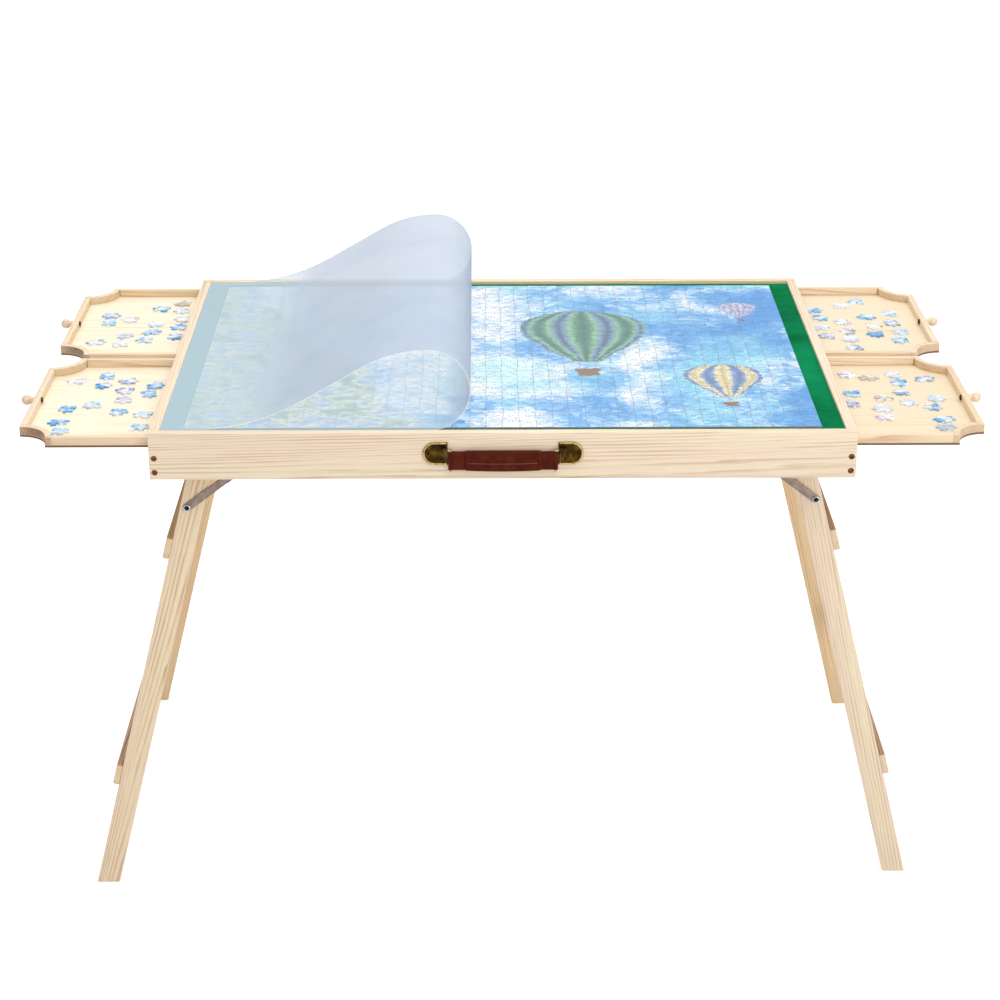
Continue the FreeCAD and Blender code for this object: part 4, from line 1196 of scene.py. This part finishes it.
class TABLE_OT_cover(bpy.types.Operator):
    """Lays the frosted cover sheet on the jigsaw and folds its free end back"""
    bl_idname = "table.cover"
    bl_label = "Cover sheet"

    def execute(self, context):
        low, high = corners_of("cover_sheet")
        width = high.y - low.y
        band = width / COVER_BANDS
        path = cover_path(Vector((low.x, low.y, low.z + COVER_THICKNESS / 2)))
        sheet = line_piece("cover_sheet_finish", path)
        with editing(sheet, "EDGE"):
            for _ in range(COVER_BANDS):
                push((0, band, 0))
        face_outwards(sheet)
        run_modifier(sheet, "SOLIDIFY", thickness=COVER_THICKNESS, offset=0, use_rim=True)
        points = sheet.data.vertices
        for face in sheet.data.polygons:
            narrow = min((points[a].co - points[b].co).length for a, b in face.edge_keys)
            on_rim = narrow < 1.2 * COVER_THICKNESS and face.area < 1.5 * COVER_THICKNESS * band
            face.material_index = int(on_rim)
        smooth(sheet)
        # Frosted plastic scatters nearly all the light on through, so it takes none from what lies under it.
        sheet.visible_shadow = False
        sheet.visible_diffuse = False
        plastics = [frosted_sheet(context.scene.table_cover), cut_plastic()]
        settle(sheet, "frosted_sheet", plastics, "cover_sheet")
        return {"FINISHED"}


# Screws: radius and height of the head, radius of the shank.
KNOB_SCREW = (3.6 * MM, 1.8 * MM, 1.75 * MM)
CORNER_SCREW = (3.7 * MM, 2.5 * MM, 2 * MM)
CORNER_SCREW_LENGTH = 45 * MM
CROSSBAR_SCREW = (3.5 * MM, 2 * MM, 1.75 * MM)
CROSSBAR_SCREW_LENGTH = 22 * MM
KNOB_SCREW_SPIN = 0.4
# The recess by the head's sizes: length, width and depth of a slot, and how narrow it gets at its floor.
SLOT_SHARES = (1.25, 0.4, 1.1)
SLOT_FLOOR_SHARE = 0.72
HEAD_ROUND_SHARE = 0.25


def cross_screw(sizes, length):
    """A cross-recessed screw with its head's top at the origin, pointing up."""
    head_radius, head_height, shank_radius = sizes
    screw = add_primitive("screw_template", "cylinder", vertices=28, radius=head_radius, depth=head_height,
                          location=(0, 0, -head_height / 2))
    with editing(screw, "FACE", lambda face: face.normal.z < -0.9):
        bpy.ops.mesh.inset(thickness=head_radius - shank_radius)
        push((0, 0, head_height - length))
    with editing(screw, "EDGE", lambda edge: all(vert.co.z > -MERGE_DISTANCE for vert in edge.verts)):
        bpy.ops.mesh.bevel(offset=HEAD_ROUND_SHARE * head_height, segments=2, affect="EDGES")
    slot_scale = [share * size for share, size in zip(SLOT_SHARES, (head_radius, head_radius, head_height))]
    for turn in (0, math.pi / 2):
        slot = add_primitive("screw_slot", "cube", slot_scale, size=1, rotation=(0, 0, turn))
        for vert in slot.data.vertices:
            if vert.co.z < 0:
                vert.co.xy *= SLOT_FLOOR_SHARE
        run_modifier(screw, "BOOLEAN", object=slot, operation="DIFFERENCE", solver="EXACT")
        bpy.data.objects.remove(slot)
    # The faces inside the recess take the second material, as painted shade.
    for face in screw.data.polygons:
        sunk = -0.7 * head_height < face.center.z < -0.05 * head_height
        face.material_index = 1 if sunk and face.center.xy.length < 0.66 * head_radius else 0
    smooth(screw)
    return screw


# Half outline of a turned knob in millimetres: distance from the axis, height above the tray end.
KNOB_NECK = ((0, 0), (4.0, 0), (4.0, 2.4), (4.3, 3.2))
KNOB_NECK_TOP_RADIUS = 4.6
KNOB_BALL_RADIUS = 6.5
KNOB_BALL_RISE = 10
KNOB_BALL_STEPS = 14
KNOB_SIDES = 36


def turn_knob(key, material):
    """A ball knob turned on a lathe, with its grain along its axis."""
    node_name = f"knob_{key}"
    low, high = corners_of(node_name)
    sign = math.copysign(1, low.x)
    start = -math.acos(KNOB_NECK_TOP_RADIUS / KNOB_BALL_RADIUS)
    outline = list(KNOB_NECK)
    for step in range(KNOB_BALL_STEPS):
        turn = start + (math.pi / 2 - start) * step / KNOB_BALL_STEPS
        rise = KNOB_BALL_RISE + KNOB_BALL_RADIUS * math.sin(turn)
        outline.append((KNOB_BALL_RADIUS * math.cos(turn), rise))
    outline.append((0, KNOB_BALL_RISE + KNOB_BALL_RADIUS))
    knob = line_piece(f"{node_name}_finish", [Vector((radius, 0, rise)) * MM for radius, rise in outline])
    with editing(knob, "EDGE"):
        bpy.ops.mesh.spin(steps=KNOB_SIDES, angle=2 * math.pi, center=(0, 0, 0), axis=UP, dupli=False)
        bpy.ops.mesh.select_all(action="SELECT")
        bpy.ops.mesh.remove_doubles(threshold=MERGE_DISTANCE)
    face_outwards(knob)
    middle = (low + high) / 2
    middle.x = low.x if sign > 0 else high.x
    knob.data.transform(Matrix.Translation(middle) @ aim_up(sign * ALONG, 0))
    smooth(knob)
    lay_grain(knob, [(middle, ALONG, ACROSS, UP)], node_name, KNOB_TONE)
    settle(knob, "pine", [material], node_name)


class TABLE_OT_trays(bpy.types.Operator):
    """Builds the four sorting trays with their turned knobs"""
    bl_idname = "table.trays"
    bl_label = "Sorting trays"

    def execute(self, context):
        rounding = context.scene.table_timber.tray_rounding
        pine = bpy.data.materials["planed_pine"]
        ply = bpy.data.materials["birch_plywood"]
        metals = [antique_brass(context.scene.table_fittings), blackened_metal(context.scene.table_fittings)]
        for key in DRAWERS:
            side = key.split("_")[1]
            dress_panel(f"drawer_base_{key}", ply, FLOOR_SHADES[side])
            dress_board(f"drawer_end_{key}", pine, rounding, TRAY_END_TONE)
            dress_board(f"drawer_walls_{key}", pine, rounding, TRAY_WALL_TONE)
            dress_corners(f"drawer_corners_{key}", pine, rounding, SCOOP_END_AND_SHADE_WEIGHTS[side])
            turn_knob(key, pine)
            self.screw_knob(f"knob_screw_{key}", metals)
        return {"FINISHED"}

    @staticmethod
    def screw_knob(node_name, metals):
        """The screw that holds a knob from inside the tray."""
        low, high = corners_of(node_name)
        inwards = -math.copysign(1, low.x)
        head = (low + high) / 2
        head.x = high.x if inwards > 0 else low.x
        place = Matrix.Translation(head) @ aim_up(inwards * ALONG, KNOB_SCREW_SPIN)
        screw = place_copies(f"{node_name}_finish", cross_screw(KNOB_SCREW, high.x - low.x), [place])
        settle(screw, "brass", metals, node_name)


LOOSE_TINTS = ("7FBDF0", "4E9BE2", "A9D4F5", "C4DCF0", "A9B6CC",
               "C6BCAE", "5FB4E8", "D8E2F2", "86A8D6", "CFD3E6")
LOOSE_SIZE = 18.5 * MM
LOOSE_THICKNESS = 2 * MM
LOOSE_ROWS = 6
LOOSE_MISSING_SHARE = 0.3
WALL_CLEARANCE = 26 * MM
SCOOP_CLEARANCE = 62 * MM
# Columns and rows of the small jigsaw that the loose pieces are taken from. Its border pieces aren't used.
SAMPLE_COLUMNS, SAMPLE_ROWS = 5, 4


class TABLE_OT_loose_pieces(bpy.types.Operator):
    """Scatters loose jigsaw pieces over the tray floors"""
    bl_idname = "table.loose_pieces"
    bl_label = "Loose pieces"

    def execute(self, context):
        puzzle = context.scene.table_puzzle
        draw = random.Random("loose pieces")
        materials = [loose_print(puzzle), bpy.data.materials["grey_card"]]
        templates = piece_templates(puzzle.groove, draw)
        for key in DRAWERS:
            piece = self.fill_tray(key, templates, draw, puzzle.loose)
            settle(piece, "printed_card", materials, body=f"drawer_{key}")
        for template in templates:
            bpy.data.objects.remove(template)
        return {"FINISHED"}

    def fill_tray(self, key, templates, draw, columns):
        low, high = corners_of(f"drawer_base_{key}")
        start = low + WALL_CLEARANCE * Vector((1, 1, 0))
        room = high - low - 2 * WALL_CLEARANCE * Vector((1, 1, 0))
        pitch = Vector((room.x / columns, room.y / (LOOSE_ROWS + 0.5)))
        copies = []
        for column, row in product(range(columns), range(LOOSE_ROWS)):
            if draw.random() < LOOSE_MISSING_SHARE:
                continue
            # Every other column is set half a step further back.
            stagger = 0.5 + column % 2 / 2
            spot = Vector((start.x + pitch.x * (column + 0.5 + draw.uniform(-0.14, 0.14)),
                           start.y + pitch.y * (row + stagger + draw.uniform(-0.16, 0.16)), high.z))
            if self.by_scoop(spot, low, high):
                continue
            turn = draw.choice((0, math.pi / 2, math.pi, -math.pi / 2)) + draw.uniform(-0.28, 0.28)
            copy = new_piece(f"loose_{key}", draw.choice(templates).data.copy())
            copy.data.transform(Matrix.Translation(spot) @ Matrix.Rotation(turn, 4, "Z"))
            shade = rgba(draw.choice(LOOSE_TINTS))
            for entry in copy.data.attributes.new("tint", "FLOAT_COLOR", "FACE").data:
                entry.color = shade
            copies.append(copy)
        return join(f"loose_pieces_{key}", copies)

    @staticmethod
    def by_scoop(spot, low, high):
        """Whether a piece would touch the scooped corners at the tray's outer end."""
        outer_x = high.x if high.x > 0 else low.x
        return any((Vector((outer_x, side)) - spot.xy).length < SCOOP_CLEARANCE for side in (low.y, high.y))


def piece_templates(groove, draw):
    """A few cut pieces standing on the origin, with a pressed rim and thick card sides."""
    far_corner = LOOSE_SIZE * Vector((SAMPLE_COLUMNS, SAMPLE_ROWS, 0))
    rings = cut_jigsaw(SAMPLE_COLUMNS, SAMPLE_ROWS, Vector(), far_corner, 0, draw)
    side_height = LOOSE_THICKNESS - groove
    templates = []
    for row, column in product(range(1, SAMPLE_ROWS - 1), range(1, SAMPLE_COLUMNS - 1)):
        middle = Vector(((column + 0.5) * LOOSE_SIZE, (row + 0.5) * LOOSE_SIZE, -side_height))
        template = ring_piece("piece_template", [[point - middle for point in rings[column, row]]])
        with editing(template, "FACE"):
            push((0, 0, -side_height))
        face_outwards(template)
        with editing(template, "FACE", lambda face: face.normal.z > 0.9):
            bpy.ops.mesh.inset(thickness=groove, depth=groove)
        # The loose pieces' grooves take the grey card too, as painted shade.
        print_faces(template, LOOSE_THICKNESS)
        templates.append(template)
    return templates


class TABLE_OT_legs(bpy.types.Operator):
    """Rounds and grains the two leg frames"""
    bl_idname = "table.legs"
    bl_label = "Leg frames"

    def execute(self, context):
        rounding = context.scene.table_timber.leg_rounding
        pine = bpy.data.materials["planed_pine"]
        for side in SIDE_SIGNS:
            dress_board(f"leg_front_{side}", pine, rounding, FRONT_LEG_TONES[side])
            dress_board(f"leg_rear_{side}", pine, rounding, REAR_LEG_TONE)
            # The crossbars' upward faces darken with painted shade, for the shade of the case above them.
            dress_board(f"crossbars_{side}", pine, rounding, CROSSBAR_TONE, **CROSSBAR_WEIGHTS)
        return {"FINISHED"}


STEEL_ROUNDING = 0.3 * MM
PIN_DOME_INSET, PIN_DOME_RISE = 0.8 * MM, 0.4 * MM
PIN_SOCKET_INSET, PIN_SOCKET_DEPTH = 0.7 * MM, 1 * MM


def is_disc(face):
    """Whether a face is a full disc that looks forwards or back, as the end of a pin does."""
    middle = face.calc_center_median()
    radii = [(vert.co - middle).length for vert in face.verts]
    return abs(face.normal.y) > 0.9 and len(radii) > 8 and max(radii) < 1.05 * min(radii)


class TABLE_OT_stays(bpy.types.Operator):
    """Softens the folding stays, their pins and anchors, and the pivot bolts"""
    bl_idname = "table.stays"
    bl_label = "Folding stays"

    def execute(self, context):
        steel = zinc_steel(context.scene.table_fittings)
        bright = bright_zinc(context.scene.table_fittings)
        for side in SIDE_SIGNS:
            for link in ("lower", "upper"):
                dress_metal(f"brace_{link}_{side}", steel, "steel", STEEL_ROUNDING)
            pins = dress_metal(f"brace_pins_{side}", bright, "steel", STEEL_ROUNDING)
            self.sink_sockets(pins, bpy.data.materials["blackened_metal"])
        for node_name in ("brace_anchors", "pivot_bolts"):
            dress_metal(node_name, steel, "steel", STEEL_ROUNDING)
        return {"FINISHED"}

    @staticmethod
    def sink_sockets(pins, material):
        """Domes the heads of the pins a little and sinks a socket into each, dark with painted shade."""
        pins.data.materials.append(material)
        with editing(pins, "FACE", is_disc):
            bpy.ops.mesh.inset(thickness=PIN_DOME_INSET, depth=PIN_DOME_RISE, use_individual=True)
            bpy.ops.mesh.inset(thickness=PIN_SOCKET_INSET, depth=-PIN_SOCKET_DEPTH, use_individual=True)
        for face in pins.data.polygons:
            face.material_index = int(face.select)


class TABLE_OT_screws(bpy.types.Operator):
    """Sets the cross-recessed screws in the corners of the case and the crossbars"""
    bl_idname = "table.screws"
    bl_label = "Screws"

    def execute(self, context):
        draw = random.Random("screws")
        bronze = bronzed_steel(context.scene.table_fittings)
        outwards = lambda middle: math.copysign(1, middle.y) * ACROSS
        corner_screw = cross_screw(CORNER_SCREW, CORNER_SCREW_LENGTH)
        set_screws("corner_screws", bronze, "brass", outwards, corner_screw, draw)
        for side, sign in SIDE_SIGNS.items():
            lean = Vector((sign * math.cos(LEG_SPLAY), 0, math.sin(LEG_SPLAY)))
            crossbar_screw = cross_screw(CROSSBAR_SCREW, CROSSBAR_SCREW_LENGTH)
            set_screws(f"crossbar_screws_{side}", bpy.data.materials["bright_zinc"], "steel",
                       lambda middle: lean, crossbar_screw, draw)
        return {"FINISHED"}


def set_screws(node_name, material, slot_name, outwards, template, draw):
    """Puts a screw at each one that the node holds, with its head where the node's head is."""
    places = []
    with shell_of(frame["nodes"][node_name].data, keep=False) as shell:
        bmesh.ops.remove_doubles(shell, verts=shell.verts, dist=MERGE_DISTANCE)
        for group in islands(shell):
            direction = outwards(sum(reach(group), Vector()) / 2)
            top = max(vert.co.dot(direction) for vert in group)
            rim = [vert.co for vert in group if vert.co.dot(direction) > top - MERGE_DISTANCE]
            head = sum(rim, Vector()) / len(rim)
            places.append(Matrix.Translation(head) @ aim_up(direction, draw.uniform(0, math.pi / 2)))
    screws = place_copies(f"{node_name}_finish", template, places)
    settle(screws, slot_name, [material, bpy.data.materials["blackened_metal"]], node_name)


# Handle plates: inner end, thickness, and the rim that stands round their dished middle.
PLATE_INNER_X = 65.5 * MM
PLATE_THICKNESS = 1.8 * MM
PLATE_RIM = 2 * MM
RIM_SLOPE, RIM_RISE = 0.5 * MM, 0.35 * MM
DISH_SLOPE, DISH_DEPTH = 0.6 * MM, 0.9 * MM
PLATE_SIDES = 56
PLATE_ROUNDING = 0.22 * MM
NAIL_ROUNDING = 0.2 * MM
LUG_SIZE = Vector((7, 6.5, 7)) * MM
LUG_ROUNDING = 1.6 * MM
HANDLE_PIVOT_Z = 617.5 * MM


class TABLE_OT_plates(bpy.types.Operator):
    """Makes the brass end plates of the handle with their nails"""
    bl_idname = "table.plates"
    bl_label = "Handle plates"

    def execute(self, context):
        front = corners_of("handle_plates")[1].y - PLATE_THICKNESS
        plate = join("plate_template", [self.plate(front), self.lug(front)])
        smooth(plate)
        plates = place_copies("handle_plates_finish", plate, [Matrix(), Matrix.Scale(-1, 4, ALONG)])
        for face in plates.data.polygons:
            # The raised rims take the rubbed brass, which also paints a highlight on them.
            raised = -0.6 * MM < face.center.y - front < 0.1 * MM and face.normal.y < -0.3
            face.material_index = 1 if raised and abs(face.center.x) > PLATE_INNER_X + PLATE_RIM else 0
        metals = [bpy.data.materials["antique_brass"], rubbed_brass(context.scene.table_fittings)]
        settle(plates, "brass", metals, "handle_plates")
        dress_metal("handle_nails", bpy.data.materials["blackened_metal"], "brass", NAIL_ROUNDING)
        return {"FINISHED"}

    @staticmethod
    def plate(front):
        """The right plate, with a round outer end, a raised rim and a dished middle."""
        low, high = corners_of("handle_plates")
        radius = (high.z - low.z) / 2
        nose = Vector((high.x - radius, high.y, (low.z + high.z) / 2))
        plate = add_primitive("plate_template", "circle", vertices=PLATE_SIDES, radius=radius, location=nose,
                              rotation=(math.pi / 2, 0, 0))
        with editing(plate, "VERT", lambda vert: vert.co.x < nose.x - MERGE_DISTANCE):
            bpy.ops.mesh.delete(type="VERT")
        with editing(plate, "VERT", lambda vert: len(vert.link_edges) == 1):
            to_inner_end = (PLATE_INNER_X - nose.x, 0, 0)
            bpy.ops.mesh.extrude_vertices_move(TRANSFORM_OT_translate={"value": to_inner_end})
            bpy.ops.mesh.select_all(action="SELECT")
            bpy.ops.mesh.edge_face_add()
            push((0, -PLATE_THICKNESS, 0))
        face_outwards(plate)
        is_front = lambda face: face.normal.y < -0.9 and face.verts[0].co.y < front + MERGE_DISTANCE
        with editing(plate, "FACE", is_front):
            bpy.ops.mesh.inset(thickness=RIM_SLOPE, depth=RIM_RISE)
            bpy.ops.mesh.inset(thickness=PLATE_RIM - RIM_SLOPE)
            bpy.ops.mesh.inset(thickness=DISH_SLOPE, depth=-DISH_DEPTH)
        round_edges(plate, PLATE_ROUNDING, 2)
        return plate

    @staticmethod
    def lug(front):
        """The lug beside the strap that holds the wire loop, with a rounded front."""
        middle = (PLATE_INNER_X + LUG_SIZE.x / 2, front - LUG_SIZE.y / 2, HANDLE_PIVOT_Z)
        lug = add_primitive("plate_lug", "cube", LUG_SIZE, size=1, location=middle)
        round_edges(lug, LUG_ROUNDING, 4)
        return lug


# The strap and the wrapped grip: how slim the grip is at its ends, how far it bows, and its stitches.
STRAP_ROUNDING = 0.7 * MM
GRIP_ROUNDING = 3.2 * MM
GRIP_CUTS = 23
GRIP_END_SHARE = 0.82
GRIP_BOW = 1.2 * MM
STITCH_BOW = 0.84 * MM
STITCH_RADII = Vector((1.25, 0.45, 0.4)) * MM
STITCH_HEIGHT_SHARE = 0.44
STITCH_LEAN = 0.12
SEAM_MARGIN = 8 * MM


def grip_depth_share(share):
    """Depth of the grip at a share of the way from its middle to its end."""
    return GRIP_END_SHARE + (1 - GRIP_END_SHARE) * (1 - share ** 2)


class TABLE_OT_handle(bpy.types.Operator):
    """Makes the leather handle: strap, stitched grip and wire loops"""
    bl_idname = "table.handle"
    bl_label = "Handle"

    def execute(self, context):
        fittings = context.scene.table_fittings
        leather = bridle_leather(fittings)
        dress_metal("handle_strap", leather, "leather", STRAP_ROUNDING)
        # The wire loops take the rubbed brass as a painted highlight, so that they show as bright lines.
        dress_metal("handle_bails", bpy.data.materials["rubbed_brass"], "brass", STEEL_ROUNDING)
        grip = self.wrap_grip(leather)
        self.stitch(grip, fittings)
        return {"FINISHED"}

    def wrap_grip(self, leather):
        low, high = corners_of("handle_grip")
        size, middle = high - low, (low + high) / 2
        grip = add_primitive("handle_grip_finish", "cube", size, size=1, location=middle)
        round_edges(grip, GRIP_ROUNDING, 6)
        with editing(grip, "EDGE", lambda edge: abs((edge.verts[1].co - edge.verts[0].co).x) > 0.8 * size.x):
            bpy.ops.mesh.subdivide(number_cuts=GRIP_CUTS)
        # The wrap is fullest in the middle and bows down a little.
        for vert in grip.data.vertices:
            share = (vert.co.x - middle.x) / (size.x / 2)
            vert.co.z -= GRIP_BOW * (1 - share ** 2) * (0.5 - (vert.co.z - middle.z) / size.z)
            vert.co.y = middle.y + (vert.co.y - middle.y) * grip_depth_share(share)
        smooth(grip)
        settle(grip, "leather", [leather], "handle_grip")
        return grip

    def stitch(self, grip, fittings):
        """Two rows of short stitches along the lower half of the grip, front and back."""
        low, high = reach(grip.data.vertices)
        size = high - low
        template = add_primitive("stitch_template", "uv_sphere", STITCH_RADII, radius=1, segments=10,
                                 ring_count=6)
        smooth(template)
        count = int((size.x - SEAM_MARGIN) / fittings.stitch_pitch)
        places = []
        for index, side in product(range(count), (-1, 1)):
            x = (index - (count - 1) / 2) * fittings.stitch_pitch
            share = x / (size.x / 2)
            y = (low.y + high.y) / 2 + side * size.y / 2 * grip_depth_share(share)
            z = low.z + STITCH_HEIGHT_SHARE * size.z - STITCH_BOW * (1 - share ** 2)
            places.append(Matrix.Translation((x, y, z)) @ Matrix.Rotation(STITCH_LEAN * side, 4, "Y"))
        stitches = place_copies("handle_stitches", template, places)
        settle(stitches, "leather", [waxed_thread(fittings)], body="handle")


OPERATORS = (TABLE_OT_stage, TABLE_OT_case, TABLE_OT_felt, TABLE_OT_puzzle, TABLE_OT_cover, TABLE_OT_trays,
             TABLE_OT_loose_pieces, TABLE_OT_legs, TABLE_OT_stays, TABLE_OT_screws, TABLE_OT_plates,
             TABLE_OT_handle)


class TABLE_PT_panel(bpy.types.Panel):
    """Lists the pieces of the table in the order in which they are made"""
    bl_idname = "TABLE_PT_panel"
    bl_label = "Jigsaw table"
    bl_space_type = "VIEW_3D"
    bl_region_type = "UI"
    bl_category = "Jigsaw table"

    def draw(self, context):
        for operator in OPERATORS:
            self.layout.operator(operator.bl_idname)
        for pointer, group in SETTINGS.items():
            box = self.layout.box()
            for name in group.__annotations__:
                box.prop(getattr(context.scene, pointer), name)


CLASSES = (*SETTINGS.values(), *OPERATORS, TABLE_PT_panel)


def register():
    for entry in CLASSES:
        bpy.utils.register_class(entry)
    for pointer, group in SETTINGS.items():
        setattr(bpy.types.Scene, pointer, PointerProperty(type=group))


def unregister():
    for pointer in SETTINGS:
        delattr(bpy.types.Scene, pointer)
    for entry in reversed(CLASSES):
        bpy.utils.unregister_class(entry)


def main():
    register()
    bpy.ops.table.stage()
    bpy.ops.table.case()
    bpy.ops.table.felt()
    bpy.ops.table.puzzle()
    bpy.ops.table.cover()
    bpy.ops.table.trays()
    bpy.ops.table.loose_pieces()
    bpy.ops.table.legs()
    bpy.ops.table.stays()
    bpy.ops.table.screws()
    bpy.ops.table.plates()
    bpy.ops.table.handle()


if __name__ == "__main__":
    main()
